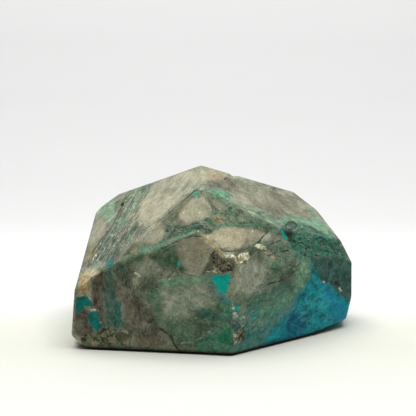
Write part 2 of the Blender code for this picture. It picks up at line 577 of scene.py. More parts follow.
# %% Gloom
area("gloom", "band down the left wall", 8, 0.6, (105, 268), (113, 267), (114, 290), (119, 302),
     (119, 326), (106, 326), (104, 296))
area("gloom", "low part of the band", 6, 0.6, (106, 300), (119, 302), (121, 326), (106, 326))
area("gloom", "left roof band, low", 6, 0.75, (98, 244), (108, 236), (120, 238), (122, 246),
     (120, 256), (112, 262), (98, 262), (86, 270), (83, 266))
area("gloom", "left roof band, edge", 3.5, 0.6, (120, 208), (125, 209), (116, 226), (104, 242),
     (98, 245), (110, 227))
area("gloom", "streak across the band", 3.5, 0.8, (119, 239), (124, 233), (133, 227), (143, 226),
     (136, 231), (128, 237), (122, 244))
area("gloom", "left band streak, two", 3, 0.5, (131, 204), (134, 206), (124, 222), (121, 220))
area("gloom", "dark clast on the crown", 2.5, 0.8, (201, 222), (207, 219), (213, 219), (215, 226),
     (212, 234), (204, 233), (200, 228))
area("gloom", "crown, along the fold", 5, 0.8, (166, 225), (181, 227), (192, 225), (200, 223),
     (200, 231), (190, 232), (178, 237), (168, 241), (165, 232))
area("gloom", "roof under the bright vein", 3.5, 0.3, (232, 207), (240, 209), (252, 217),
     (262, 222), (276, 228), (268, 230), (256, 226), (248, 222), (236, 214))
area("gloom", "dark net round the eye", 3.5, 0.8, (280, 227), (286, 221), (300, 221), (308, 227),
     (300, 236), (288, 240), (282, 234))
area("gloom", "right of the panes", 4, 0.35, (262, 226), (276, 228), (283, 236), (276, 236),
     (266, 232))
area("gloom", "dark strip left of the hollow", 4, 0.55, (208, 262), (214, 254), (214, 266),
     (206, 276), (201, 275))
area("gloom", "corner under the left edge", 6, 0.75, (116, 262), (124, 262), (130, 270), (132, 284),
     (126, 288), (118, 280), (114, 272))
area("gloom", "dark green band in the left wall", 5, 0.5, (190, 311), (204, 308), (216, 311),
     (231, 318), (231, 326), (212, 320), (196, 319))
area("gloom", "foot of the front edge", 9, 0.5, (196, 328), (214, 324), (232, 326), (232, 350),
     (200, 352))
area("gloom", "foot of the right wall", 9, 0.25, (232, 316), (252, 322), (266, 328), (262, 342),
     (234, 350))
area("gloom", "right wall, dark corner", 7, 0.2, (282, 256), (298, 262), (298, 270), (288, 272),
     (280, 264))
area("gloom", "brown wall, grain", 6, 0.3, (126, 280), (131, 282), (142, 300), (150, 314),
     (146, 318), (134, 302))
area("gloom", "between the clasts", 4, 0.35, (79, 336), (98, 330), (108, 326), (128, 327),
     (132, 347), (82, 347))
area("gloom", "purple grey pane", 5, 0.55, (280, 276), (292, 268), (298, 270), (294, 284),
     (286, 290), (279, 289))
tell("gloom")

# %% [markdown]
# ## Verdigris and mint
#
# Malachite and chrysocolla came with hot water along the cracks. Where a crack lies flat under the
# polish it shows as a pale mint veil, and where the copper soaked into the quartz it is a duller
# blue-green, as on old roofs. Both are veils, and the mint is laid last of all of them.

# %% Verdigris and mint
area("verdigris", "right wall", 12, 0.62, (262, 290), (278, 284), (292, 288), (298, 292),
     (286, 306), (262, 318), (240, 318), (246, 304))
area("verdigris", "roof round the eye", 7, 0.4, (276, 222), (286, 218), (304, 220), (322, 226),
     (334, 238), (320, 234), (300, 232), (286, 238), (280, 234))
area("verdigris", "right wall, top", 7, 0.4, (262, 252), (280, 246), (296, 250), (300, 258),
     (290, 264), (276, 272), (266, 266))
area("verdigris", "foot of the stone", 9, 0.6, (196, 338), (214, 330), (232, 330), (250, 326),
     (262, 330), (262, 350), (232, 353), (196, 352))
area("verdigris", "band down the left wall", 7, 0.6, (105, 267), (113, 266), (114, 290), (119, 300),
     (123, 316), (121, 328), (106, 327), (104, 300))
area("verdigris", "crown, over the vein", 6, 0.3, (190, 224), (214, 216), (230, 209), (236, 214),
     (218, 222), (200, 228))
area("verdigris", "edge of the crown", 4, 0.4, (246, 248), (262, 242), (280, 240), (290, 246),
     (276, 254), (254, 252))
area("mint", "mint corner of the left roof", 2.5, 0.66, (95, 210), (102, 203), (109, 199),
     (114, 200), (115, 207), (114, 217), (112, 224), (109, 223), (107, 218), (103, 217), (97, 214))
area("mint", "mint tongue", 3.5, 0.7, (136, 247), (141, 243), (147, 246), (152, 246), (164, 241),
     (176, 237), (184, 233), (196, 230), (195, 234), (180, 239), (166, 246), (152, 252), (144, 254),
     (138, 252))
area("mint", "veil along the right roof", 4, 0.8, (278, 221), (285, 217), (294, 216), (306, 219),
     (318, 222), (328, 230), (326, 235), (315, 228), (302, 223), (288, 221))
area("mint", "mint streak on the left wall", 3, 0.85, (159, 282), (172, 277), (198, 277),
     (206, 280), (198, 284), (176, 287), (160, 287))
area("mint", "mint in the left wall", 7, 0.4, (144, 292), (158, 287), (164, 298), (156, 306),
     (148, 300))
area("mint", "green roof edge, right", 8, 0.5, (304, 197), (318, 211), (334, 234), (328, 232),
     (312, 216))
area("mint", "pale green band by the blue", 7, 0.95, (297, 262), (305, 256), (312, 266), (312, 276),
     (306, 289), (296, 293), (293, 282))
area("mint", "green glow over the blue", 6, 0.5, (298, 262), (306, 258), (312, 270), (308, 284),
     (298, 292))
area("mint", "pale turquoise over the blue", 5, 0.6, (286, 245), (300, 246), (311, 256), (304, 259),
     (293, 254))
area("mint", "green glow in the right wall", 5, 0.7, (258, 310), (270, 303), (284, 295), (292, 294),
     (288, 302), (274, 310), (262, 316))
area("mint", "green tint of the crown pane", 6, 0.18, (186, 204), (200, 196), (210, 206),
     (204, 220), (184, 220))
area("mint", "veil in the left band", 4, 0.6, (117, 222), (124, 217), (128, 217), (122, 226),
     (117, 229))
area("mint", "green fragments at the foot", 2.5, 0.7, (110, 328), (116, 327), (118, 338),
     (113, 340))
area("mint", "pale fragment at the foot", 2, 0.8, (118, 328), (123, 327), (127, 333), (123, 335),
     (119, 334))
area("mint", "haze left of the triangle", 3, 0.6, (206, 274), (213, 274), (214, 280), (208, 280))
area("mint", "left roof, small flecks", 2, 0.7, (109, 236), (113, 233), (115, 235), (112, 238))
area("mint", "pale strip at the right end", 3, 0.6, (338, 243), (341, 246), (349, 262), (345, 260))
area("mint", "green haze over the roof vein", 6, 0.35, (204, 187), (216, 187), (232, 196),
     (238, 206), (226, 204), (212, 196))
line("mint", "blue wall, streak one", 1.6, 3, 0.6, (298, 294), (300, 305))
line("mint", "blue wall, streak two", 2.2, 3, 0.6, (307, 319), (311, 330))
tell("verdigris", "mint")

# %% [markdown]
# ## Turquoise
#
# Chrysocolla that settled next to the shattuckite is turquoise. It makes the blue fade through
# green-blue into the quartz, where a straight fade from blue to beige would look grey.

# %% Turquoise
area("turquoise", "teal left of the front edge", 6, 0.4, (222, 296), (232, 300), (232, 322),
     (222, 312))
area("turquoise", "blue grey streak on the front edge", 3, 0.8, (233, 302), (238, 304), (238, 316),
     (233, 316))
area("turquoise", "blue tint of the right wall", 14, 0.55, (240, 316), (262, 306), (284, 302),
     (290, 330), (262, 350), (236, 350))
area("turquoise", "green side of the blue", 7, 0.6, (304, 262), (310, 262), (316, 276), (306, 290),
     (298, 302), (290, 300), (302, 284))
area("turquoise", "glow left of the triangle", 6, 0.45, (204, 277), (213, 276), (222, 294),
     (230, 300), (230, 306), (214, 296))
area("turquoise", "turquoise above the blue", 6, 0.9, (288, 246), (298, 247), (309, 256),
     (314, 268), (306, 264), (298, 256))
area("turquoise", "teal foot of the pale band", 8, 0.85, (296, 286), (306, 272), (314, 268),
     (318, 280), (308, 292), (298, 300))
line("turquoise", "blue wall, long scratch", 1.2, 2, 0.6, (307, 305), (316, 302), (325, 300))
tell("turquoise")

# %% [markdown]
# ## Ochre, cream and umber
#
# Iron stains the quartz along its open edges: ochre at the left end, cream on the worn folds, and
# umber inside the hollow. They are small and break up the greens, which a viewer notices at once
# when they are missing.

# %% Tan, cream and umber
area("tan", "ochre strip at the left edge", 4, 0.85, (80, 274), (87, 272), (90, 280), (88, 291),
     (83, 296), (78, 293))
area("tan", "warm strip in the left end", 5, 0.5, (90, 246), (98, 246), (94, 256), (86, 262))
area("tan", "tan clast on the crown", 2.5, 0.6, (211, 218), (217, 215), (223, 216), (222, 223),
     (217, 226), (212, 223))
area("tan", "brown in the left band", 4, 0.6, (133, 212), (139, 214), (136, 221), (129, 220))
area("tan", "streak in the left band", 2.5, 0.6, (125, 229), (129, 228), (123, 233), (118, 238))
area("tan", "roof ridge by the ledge", 4, 0.35, (206, 168), (218, 171), (228, 176), (226, 180),
     (210, 180))
line("tan", "brown line left of the pane", 2.4, 3, 0.35, (170, 218), (180, 209), (188, 200))
area("tan", "clasts at the foot", 3, 0.3, (83, 337), (98, 336), (100, 328), (108, 328), (111, 340),
     (117, 338), (128, 336), (129, 345), (84, 346))
area("tan", "low left wall", 7, 0.2, (134, 340), (158, 337), (166, 346), (136, 347))
area("tan", "lilac stain left of the roof edge", 5, 0.3, (134, 244), (142, 246), (138, 254),
     (130, 252))
area("cream", "pale specks by the small pocket", 4, 0.65, (262, 247), (268, 250), (276, 258),
     (274, 262), (266, 258))
area("cream", "warm pane above the hollow", 5, 0.25, (206, 237), (214, 232), (230, 229), (242, 231),
     (243, 240), (232, 247), (220, 244))
area("cream", "cream above the ochre", 4, 0.6, (85, 268), (94, 268), (99, 273), (93, 277),
     (86, 275))
line("cream", "worn fold above the hollow", 5, 4, 0.9, (202, 237), (208, 241), (214, 246),
     (221, 254))
line("cream", "fold beside the hollow", 4, 3, 0.95, (216, 248), (221, 253), (224, 256))
line("cream", "zigzag below the warm pane", 2, 2, 0.9, (222, 253), (227, 257), (234, 256),
     (237, 262), (241, 263))
area("umber", "inside of the hollow", 3, 0.55, (213, 250), (218, 252), (222, 258), (230, 261),
     (237, 264), (234, 271), (224, 274), (206, 274), (209, 262))
tell("tan", "cream", "umber")

# %% [markdown]
# ## Malachite veins
#
# Where the lap cut a copper-filled crack across, it shows as a thin bright green line. A line is a
# route of a few points and a width. Malachite is a solid, not a veil: it is either there or it isn't,
# and the material decides that along a frayed rim. A deeper green marks two places low on the
# walls, where the copper is densest.

# %% Malachite
line("malachite", "vein over the crown", 1.5, 2.5, 0.6, (150, 247), (157, 244), (166, 240),
     (178, 236), (186, 231), (194, 226), (202, 222), (210, 218), (216, 214), (222, 212), (228, 208))
line("malachite", "vein on the right roof", 2.0, 3.2, 0.64, (213, 191), (222, 197), (231, 203),
     (240, 206), (250, 212), (260, 217), (270, 222), (278, 226))
area("malachite", "widening of the roof vein", 7, 0.66, (210, 190), (218, 189), (228, 192),
     (231, 197), (229, 200), (220, 196))
line("malachite", "green over the ridge", 2.0, 3, 0.5, (198, 189), (202, 185), (208, 182))
line("malachite", "vein above the warm pane", 1.6, 2.5, 0.8, (217, 230), (221, 226), (231, 225),
     (240, 225), (249, 224), (255, 226), (263, 229))
line("malachite", "green line on the edge", 2.0, 3, 0.5, (140, 254), (152, 250), (166, 244))
line("malachite", "line left of the triangle", 2.4, 4, 0.5, (196, 277), (206, 280), (214, 284))
area("malachite", "green down to the foot", 6, 0.42, (210, 330), (222, 322), (232, 324), (232, 350),
     (214, 348))
area("malachite", "green along the front edge", 6, 0.4, (214, 312), (231, 306), (231, 336),
     (222, 326))
area("malachite", "green base of the left wall", 6, 0.5, (192, 345), (205, 341), (220, 342),
     (232, 346), (232, 353), (196, 352))
line("malachite", "diagonal in the right wall", 3.2, 4, 0.75, (262, 316), (277, 308), (290, 300),
     (296, 294))
line("malachite", "second diagonal", 2.0, 4, 0.6, (250, 314), (260, 310), (270, 305), (282, 297))
line("malachite", "seam down the front edge", 2.0, 3, 0.55, (224, 296), (231, 303), (231, 314))
area("malachite", "pool by the small pocket", 3, 0.6, (270, 262), (277, 262), (277, 269),
     (271, 268))
line("malachite", "line over the eye", 1.8, 2.2, 0.75, (277, 223), (285, 219), (294, 217),
     (302, 219), (315, 221), (325, 227), (334, 236), (341, 249), (347, 259))
line("malachite", "thread under the crown", 1.6, 2.2, 0.6, (246, 250), (256, 243), (270, 242),
     (280, 240))
line("malachite", "dark thread in the right wall", 1.8, 3, 0.5, (268, 257), (280, 252), (296, 254))
line("malachite", "ring round the eye", 1.6, 2, 0.75, (283, 226), (286, 222), (293, 221),
     (299, 225), (296, 230), (288, 230))
area("malachite", "wedge at the left ridge", 2, 0.9, (192, 195), (194, 192), (200, 190), (199, 195),
     (195, 197))
area("deep green", "bright green patch at the foot", 3.5, 0.95, (222, 332), (231, 329), (231, 344),
     (222, 342), (217, 338))
line("deep green", "green strand in the left wall", 2.4, 4, 0.6, (200, 310), (216, 313), (231, 319))
tell("malachite", "deep green")

# %% [markdown]
# ## The dark rock
#
# The copper minerals grew in a dark green rock, which still shows at the right end and as an eye in
# the roof. Round the eye they settled in thin bands, with long dark and pale streaks across them.
# The material draws both: here only the place where they may show is laid, as one attribute for
# the bands and one for the streaks.

# %% Dark rock, bands and streaks
area("dark rock", "dark green end of the stone", 4, 1.0, (312, 256), (318, 254), (326, 254),
     (338, 252), (346, 260), (356, 264), (356, 304), (346, 300), (341, 295), (332, 286), (321, 281),
     (316, 271), (312, 262))
area("dark rock", "dark band under the eye", 6, 0.75, (290, 238), (300, 236), (312, 240),
     (326, 246), (340, 256), (312, 260), (302, 248), (294, 246))
area("dark rock", "mottled dark roof", 9, 0.5, (285, 226), (298, 222), (310, 225), (322, 230),
     (334, 240), (346, 256), (330, 256), (312, 250), (298, 246), (290, 238))
area("dark rock", "eye in the roof", 2, 0.95, (287, 224), (291, 222), (296, 224), (296, 227),
     (291, 228), (287, 227))
area("dark rock", "dark pool in the roof vein", 2.5, 0.75, (227, 207), (232, 206), (233, 210),
     (228, 211))
area("dark rock", "second dark pool in the roof vein", 3, 0.65, (255, 211), (263, 210), (266, 213),
     (258, 215))
area("dark rock", "dark green under the left edge", 3, 0.75, (118, 264), (122, 262), (125, 268),
     (120, 272))
area("dark rock", "dark green strand in the left wall", 4, 0.6, (193, 313), (208, 310), (224, 317),
     (222, 321), (202, 318))
area("dark rock", "dark patch in the front edge pit", 2.5, 0.95, (232, 320), (239, 321), (241, 328),
     (236, 332), (232, 329))
area("dark rock", "strip along the right of the triangle", 4, 0.45, (222, 300), (231, 304),
     (232, 312))
spots("dark rock", "green eyes in the olive quartz", 4.4, 3, 0.75, (168, 265), (170, 256))
area("bands", "roof round the eye", 6, 0.9, (287, 234), (298, 230), (302, 223), (312, 226),
     (324, 232), (338, 242), (348, 258), (326, 256), (314, 258), (302, 256), (292, 248), (286, 238))
area("eye streaks", "roof round the eye", 6, 0.9, (286, 234), (298, 229), (302, 222), (316, 226),
     (332, 236), (348, 258), (340, 264), (318, 260), (302, 256), (290, 246))
tell("dark rock", "bands", "eye streaks")

# %% [markdown]
# ## Shattuckite
#
# Shattuckite is the deep blue copper silicate that gives the stone its name. It fills the lower
# right, is brightest by the dark green rock, and thins out to the left. One noise from light to dark
# would scatter its tones evenly. Three blues, one on another, each keep to a place of their own.

# %% Shattuckite
area("shattuckite", "blue foot of the stone", 11, 1.0, (298, 292), (306, 286), (311, 277),
     (318, 262), (326, 276), (336, 280), (346, 290), (354, 296), (364, 304), (360, 330), (318, 337),
     (290, 345), (262, 353), (266, 338), (276, 328), (284, 318), (292, 308), (296, 298))
area("shattuckite", "blue thinning to the left", 14, 0.6, (270, 340), (280, 323), (290, 308),
     (300, 312), (290, 346), (252, 352))
area("shattuckite", "blue rim beside the dark rock", 3, 0.9, (310, 264), (313, 264), (317, 272),
     (321, 281), (314, 280), (311, 272))
area("bright blue", "bright blue by the end", 10, 0.85, (322, 282), (330, 286), (338, 298),
     (346, 304), (350, 310), (346, 324), (334, 322), (326, 302))
area("bright blue", "bright rim at the base", 7, 0.5, (316, 318), (334, 320), (340, 326),
     (318, 334))
area("deep blue", "deep blue heart", 13, 0.9, (286, 320), (296, 308), (304, 312), (307, 328),
     (298, 337), (282, 334))
area("deep blue", "deep blue along the base", 5, 0.55, (262, 342), (290, 335), (312, 330),
     (312, 338), (288, 346), (262, 351))
area("blue streaks", "blue foot", 10, 0.9, (298, 292), (312, 276), (330, 286), (350, 308),
     (346, 330), (262, 346), (268, 328), (284, 312))
tell("shattuckite", "bright blue", "deep blue", "blue streaks")

# %% [markdown]
# ## Teal chips
#
# A few chips of pure chrysocolla are the strongest colour on the stone: a triangle under the hollow,
# a dot in the olive quartz, a crescent at the eye and a hook at the left edge. A small chip only
# looks cut if its rim is sharp, so most of these fade in under two units.

# %% Teal chips
area("teal", "triangle under the hollow", 1.6, 1.0, (215, 275), (220, 274), (222, 275), (231, 274),
     (231, 278), (228, 285), (226, 294), (222, 294), (219, 291), (216, 286), (213, 281), (212, 278))
spots("teal", "dot in the olive quartz", 4.2, 1.6, 1.0, (178.5, 263.8))
line("teal", "crescent at the eye", 2.6, 1.8, 1.0, (282.5, 231.5), (283, 235), (286.5, 239))
spots("teal", "specks in the dark rock", 2.4, 2.2, 0.6, (304, 241), (308, 246), (292, 244),
      (315, 237))
spots("teal", "specks at the front edge", 3.6, 2.5, 0.8, (254.5, 318), (229, 282))
area("teal", "fleck in the front edge", 1.8, 0.95, (237, 306), (240, 305), (240, 309), (238, 312))
area("dark teal", "hook at the left edge", 1.6, 1.0, (76, 297), (87, 296), (92, 303), (92, 307),
     (84, 305), (82, 312), (76, 313))
area("dark teal", "chip below the hook", 1.6, 1.0, (90, 312), (98, 312), (99, 321), (103, 326),
     (97, 332), (92, 327), (88, 321), (89, 314))
area("dark teal", "spot above the brown wall", 1.8, 1.0, (106, 263), (110, 261), (114, 260),
     (113, 265), (109, 266), (107, 266))
area("dark teal", "band down the left wall", 3.5, 0.36, (106, 268), (112, 267), (113, 290),
     (118, 300), (122, 316), (119, 326), (106, 326), (104, 304))
line("dark teal", "edge of the band", 1.6, 3, 0.55, (118, 304), (120, 314), (120, 326))
tell("teal", "dark teal")

# %% [markdown]
# ## Cracks
#
# Thin dark lines are open or iron-stained cracks. They also press the skin in, further below, so a
# crack is a groove that the light finds. A groove alone would be too narrow to see at this size.
# One line, under the ledge at the top, is a painted shadow of a small chip, laid with the cracks.

# %% Cracks
area("crack", "dark middle of the crescent", 3, 0.62, (287, 232), (291, 232), (293, 236),
     (290, 238), (287, 236))
line("crack", "along the left ridge", 1.1, 2.0, 0.9, (197, 190), (193, 192), (184, 200), (175, 208),
     (166, 216), (160, 220))
line("crack", "ridge line, fading", 0.8, 2.2, 0.65, (160, 220), (147, 228), (134, 236))
line("crack", "left roof, thin", 0.9, 2.0, 0.75, (152, 182), (148, 190), (145, 197), (138, 204),
     (135, 212))
line("crack", "border of the left band", 1.2, 2.4, 0.8, (126, 196), (123, 204), (112, 226),
     (98, 244), (90, 256), (82, 267))
line("crack", "strand in the left band", 0.9, 2.4, 0.6, (134, 206), (126, 216), (118, 228),
     (108, 240))
line("crack", "second strand in the left band", 0.9, 2.4, 0.6, (131, 226), (120, 238), (108, 252),
     (96, 264))
line("crack", "fold above the olive quartz", 1.3, 2, 0.85, (160, 249), (168, 246), (176, 242),
     (186, 238), (192, 236), (201, 237))
line("crack", "crown, dark line", 1.2, 2.2, 0.7, (166, 226), (181, 228), (192, 225), (201, 222),
     (208, 219))
line("crack", "left side of the hollow", 1.4, 2, 0.95, (214, 252), (210, 258), (207, 266),
     (204, 273))
line("crack", "down to the left of the triangle", 1.2, 2.4, 0.7, (204, 273), (198, 277), (188, 275),
     (176, 270))
line("crack", "diagonal at the foot", 2.2, 2.2, 0.9, (159, 328), (165, 332), (172, 338), (174, 344),
     (180, 352))
# Painted shadow: the next line is the dark shade under the ledge's chip, pressed in like a crack.
line("crack", "shadow under the ledge", 1.4, 2.4, 0.62, (208, 182), (221, 180), (227, 178), (229, 175))
line("crack", "purple curve", 1.3, 2.4, 0.85, (262, 288), (267, 285), (275, 282), (283, 281),
     (288, 279), (292, 273), (296, 270))
line("crack", "diagonal in the crown", 1.6, 2.2, 0.8, (258, 243), (265, 235), (270, 229))
line("crack", "under the right pane", 1.6, 2.2, 0.8, (268, 246), (275, 242), (280, 240))
line("crack", "over the druse", 1.6, 2, 0.8, (220, 248), (226, 251), (234, 252), (243, 250),
     (252, 247))
line("crack", "right wall, upper", 1.7, 2.2, 0.75, (268, 256), (278, 252), (288, 251))
line("crack", "brown line in the dark rock", 1.4, 2, 0.8, (301, 242), (309, 248), (313, 254))
area("crack", "dark mottles round the eye", 5, 0.43, (282, 226), (288, 221), (300, 221), (314, 226),
     (332, 237), (318, 238), (300, 234), (288, 237))
line("crack", "ring round the dark eye", 1.5, 2, 0.85, (286, 229), (286, 225), (289, 222),
     (294, 222), (297, 226), (294, 229), (288, 230))
line("crack", "arc under the crescent", 1.4, 2, 0.7, (286, 233), (290, 238), (296, 241))
line("crack", "left wall, down from the edge", 1.4, 4, 0.65, (128, 281), (134, 293), (139, 303),
     (150, 311), (154, 320))
line("crack", "upright line by the band", 1.2, 2.5, 0.6, (113, 270), (113, 280), (114, 292))
line("crack", "rim of the brown wall", 1.2, 2.5, 0.6, (105, 267), (97, 274), (91, 284))
line("crack", "gap between the clasts", 1.2, 2.4, 0.7, (107, 327), (112, 339), (115, 347))
area("crack", "dark wedge at the clasts", 2.5, 0.75, (80, 337), (87, 337), (84, 344), (81, 341))
spots("crack", "dark specks", 2.8, 2.2, 0.8, (122.8, 205), (145, 278.3), (228.8, 189.5), (226, 179),
      (300, 243))
area("crack", "dark cluster in the left wall", 3, 0.8, (146, 321), (153, 319), (152, 324),
     (147, 324))
area("crack", "olive chip by the dark rock", 2.5, 0.85, (333, 281), (339, 281), (340, 285),
     (334, 285))
tell("crack")

# %% [markdown]
# ## Healed cracks, crystals and rust
#
# Pale lines are cracks that quartz has healed, and pale spots are chips. Druse is a crust of tiny
# crystals beside the hollow. Rust is the last mineral to come, in small brown spots.

# %% Pale lines and druse
line("pale", "core of the roof vein, one", 0.8, 2.2, 0.65, (219, 193), (226, 198), (232, 203))
line("pale", "core of the roof vein, two", 0.8, 1.8, 0.8, (242, 208), (248, 211), (254, 214))
line("pale", "core of the roof vein, three", 0.8, 2.2, 0.6, (264, 220), (270, 222), (277, 226))
line("pale", "rim of the crown pane", 0.8, 1.8, 0.75, (207, 201), (210, 209), (212, 214))
line("pale", "streak in the crown", 1.2, 1.8, 0.8, (196, 197), (196, 203))
line("pale", "fleck in the left wall", 1.8, 1.6, 0.95, (135, 273), (140, 276.5))
line("pale", "right roof crack", 0.8, 2, 0.55, (280, 204), (284, 210), (289, 217))
line("pale", "dotted line at the foot", 1.4, 2.4, 0.62, (182, 343), (192, 343), (198, 339),
     (205, 335), (210, 331))
line("pale", "left roof, light streak", 1.0, 2.2, 0.6, (135, 203), (129, 210), (124, 216))
line("pale", "left roof, second light streak", 1.0, 2.4, 0.55, (132, 237), (127, 245), (122, 253))
line("pale", "left roof, streak near the top", 1.0, 2, 0.6, (158, 184), (165, 180))
line("pale", "low left roof, light rim", 1.0, 2, 0.6, (148, 229), (156, 223), (162, 222))
spots("pale", "flecks in the left band", 2.0, 2, 0.8, (124.5, 200.5), (100.6, 243.3), (96, 255.6),
      (93.3, 259), (114.4, 246), (112, 235.5))
spots("pale", "flecks on the crown", 2.4, 2.2, 0.75, (198.3, 231), (252.5, 231), (297.5, 236),
      (199.4, 211.7))
spots("pale", "flecks at the front edge", 2.6, 2.4, 0.8, (234, 308), (235.5, 313), (243, 317),
      (245, 322), (242, 326), (236, 336), (236, 342))
line("pale", "vein at the left wall top", 1.0, 2.4, 0.6, (159, 281), (172, 278), (198, 277))
line("pale", "arc in the left wall", 1.0, 2.4, 0.6, (145, 294), (149, 290), (157, 288))
spots("pale", "spots in the left wall", 2.4, 2.4, 0.7, (189.5, 296.7), (196, 318), (101, 322))
line("pale", "worn front edge", 1.4, 3, 0.6, (231, 296), (233, 306), (234, 320), (234, 345))
spots("pale", "crystals in the front edge pit", 3.4, 3, 0.62, (243, 312), (245, 318), (241, 319),
      (237, 316), (244, 325), (235, 335))
area("pale", "rim over the teal chip", 1.8, 0.7, (89, 309), (96, 309), (97, 311), (90, 311))
line("pale", "sliver at the right end", 1.0, 2, 0.6, (336, 246), (341, 256), (345, 262))
spots("pale", "chips by the dark rock", 2.6, 2.4, 0.75, (339.5, 288.5), (340.5, 291), (324, 282),
      (329, 283))
line("pale", "tan sliver in the right wall", 1.6, 2.2, 0.6, (258, 288), (261, 294))
# Painted highlight: the next mark lights the rounded lower left corner.
area("pale", "highlight on the lower left corner", 3, 0.55, (75, 337), (78, 338), (82, 344), (78, 345))
line("pale", "trail of the small druse", 1.4, 2.4, 0.55, (263, 251), (268, 254), (274, 259))
line("pale", "crystals below the hollow", 1.4, 2.2, 0.65, (207, 272), (212, 271), (217, 273))
area("druse", "druse beside the hollow", 2.2, 1.0, (238, 256), (241, 253), (248, 252), (250, 257),
     (247, 262), (240, 263))
area("druse", "small druse", 2.2, 0.95, (255, 246), (259, 244), (266, 246), (267, 250), (260, 249))
area("druse", "streak in the tan fold", 2.2, 0.8, (224, 254), (233, 254), (234, 257), (226, 258))
tell("pale", "druse")

# %% Rust
line("rust", "streak in the front edge pit", 1.6, 2.0, 0.9, (243.8, 330), (239, 338.5))
spots("rust", "brown specks in the dark rock", 3.2, 2.6, 0.8, (297, 231), (290, 237.5), (299, 239),
      (274, 187), (306, 249))
area("rust", "dark brown by the ochre", 4, 0.6, (93, 282), (97, 274), (104, 270), (100, 282),
     (95, 292))
area("rust", "red brown in the left wall", 6, 0.52, (131, 297), (140, 296), (143, 306), (133, 306))
spots("rust", "spots at the left foot", 2.6, 2.4, 0.7, (130, 343), (127, 340), (86, 340))
line("rust", "left roof grain", 1.2, 3, 0.5, (140, 210), (132, 222), (122, 234))
spots("rust", "stain at the ridge top", 3, 3, 0.6, (229, 187), (214, 176))
tell("rust")

# %% [markdown]
# ## Where streaks, a net and fragments run
#
# Some quartz is combed in one direction, as if it had flowed, and some is netted with fine cracks.
# Hundreds of hair-thin lines would be slow to draw one by one. They come from noise in the material,
# stretched in the direction of the flow, and these areas say where they may show. The clasts at the
# left foot are broken fragments, which come from a cell pattern in the same way.

# %% Streaks, net and clasts
area("streaks", "left roof band", 7, 0.95, (134, 190), (152, 182), (146, 192), (141, 204),
     (138, 218), (150, 226), (138, 238), (124, 250), (116, 262), (84, 272), (90, 254), (104, 238),
     (112, 222), (122, 204))
area("streaks", "left roof, faint", 12, 0.3, (150, 184), (196, 170), (190, 196), (160, 226),
     (140, 240))
area("wall streaks", "left wall, brown half", 10, 0.9, (92, 276), (106, 268), (130, 264),
     (140, 282), (156, 316), (168, 344), (132, 344), (92, 334))
area("fan streaks", "left wall, green half", 12, 0.9, (150, 272), (180, 280), (210, 296),
     (231, 306), (231, 350), (186, 350), (160, 330), (150, 300))
area("rising streaks", "right wall", 12, 0.9, (240, 290), (270, 276), (298, 270), (300, 292),
     (280, 312), (262, 330), (240, 344), (234, 318))
area("net", "crown under the ridge", 5, 0.6, (208, 206), (228, 204), (240, 208), (262, 220),
     (280, 228), (276, 238), (262, 226), (236, 224), (216, 228), (206, 234), (200, 228), (208, 216))
area("net", "fold left of the crown", 5, 0.7, (166, 224), (184, 226), (204, 218), (208, 232),
     (186, 236), (164, 246), (150, 248), (164, 236))
area("net", "right wall, top", 6, 0.65, (260, 254), (270, 248), (286, 244), (300, 256), (298, 270),
     (284, 272), (268, 268))
area("net", "under the bright roof vein", 4, 0.35, (206, 186), (222, 192), (226, 200), (212, 196))
area("net", "dark net round the eye", 4, 0.8, (280, 225), (286, 220), (300, 220), (308, 226),
     (300, 236), (286, 238))
area("clasts", "foot of the left end", 5, 0.95, (77, 338), (86, 334), (97, 333), (103, 328),
     (110, 326), (117, 330), (124, 328), (129, 335), (129, 346), (80, 346))
tell("streaks", "wall streaks", "fan streaks", "rising streaks", "net", "clasts")

# %% [markdown]
# ## From marks to attributes
#
# For each mark every vertex needs one distance, to the rim of an area, to the middle of a line or to
# the nearest spot. The marks of one mineral are then laid together like coats of paint: each covers a
# share of what is still bare.
#
# A mark drawn from the front would go straight through the stone. A real grain ends at a depth of a
# few of its own widths, and so do the areas and spots here. Veins and open cracks are sheets, and
# their lines run on to the far side.

# %% Distances on the map
def to_stretch(at, start, end):
    """The distance of each place on the map from a straight stretch."""
    run = np.subtract(end, start)
    share = np.clip((at - start) @ run / max(run @ run, 1e-9), 0, 1)
    return np.hypot(*(at - start - share[:, None] * run).T)


def to_route(at, route):
    """The distance of each place from the nearest stretch of a route."""
    return np.min([to_stretch(at, a, b) for a, b in zip(route, route[1:])], axis=0)


def is_inside(at, outline):
    """Whether each place is inside a closed outline, by counting the sides to its right."""
    crossed = np.zeros(len(at), bool)
    for (ax, ay), (bx, by) in zip(outline, outline[1:] + outline[:1]):
        if ay != by:
            spans = (ay > at[:, 1]) != (by > at[:, 1])
            crossed ^= spans & (at[:, 0] < ax + (at[:, 1] - ay) / (by - ay) * (bx - ax))
    return crossed


def depth_in_mark(mark, at):
    """How far inside a mark each place is, in map units, and below zero outside."""
    if mark.kind == "area":
        rim = to_route(at, mark.points + mark.points[:1])
        return np.where(is_inside(at, mark.points), rim, -rim)
    if mark.kind == "line":
        return mark.width / 2 - to_route(at, mark.points)
    return mark.width / 2 - np.min([np.hypot(*(at - c).T) for c in mark.points], axis=0)


print("three units off a stretch:", to_stretch(np.array([(5.0, 3.0)]), (0, 0), (10, 0))[0])

# %% How surely each mineral is there
UNITS_PER_MM = UNITS_PER_SLOPE * MM / SIGHT_DISTANCE
SHEETS = ("malachite", "crack")
REACH_WHOLE = 2.0
REACH_END = 7.0
LEAST_HALF_WIDTH = 0.5


def smooth_step(share):
    """A share from 0 to 1 with soft ends."""
    share = np.clip(share, 0, 1)
    return share * share * (3 - 2 * share)


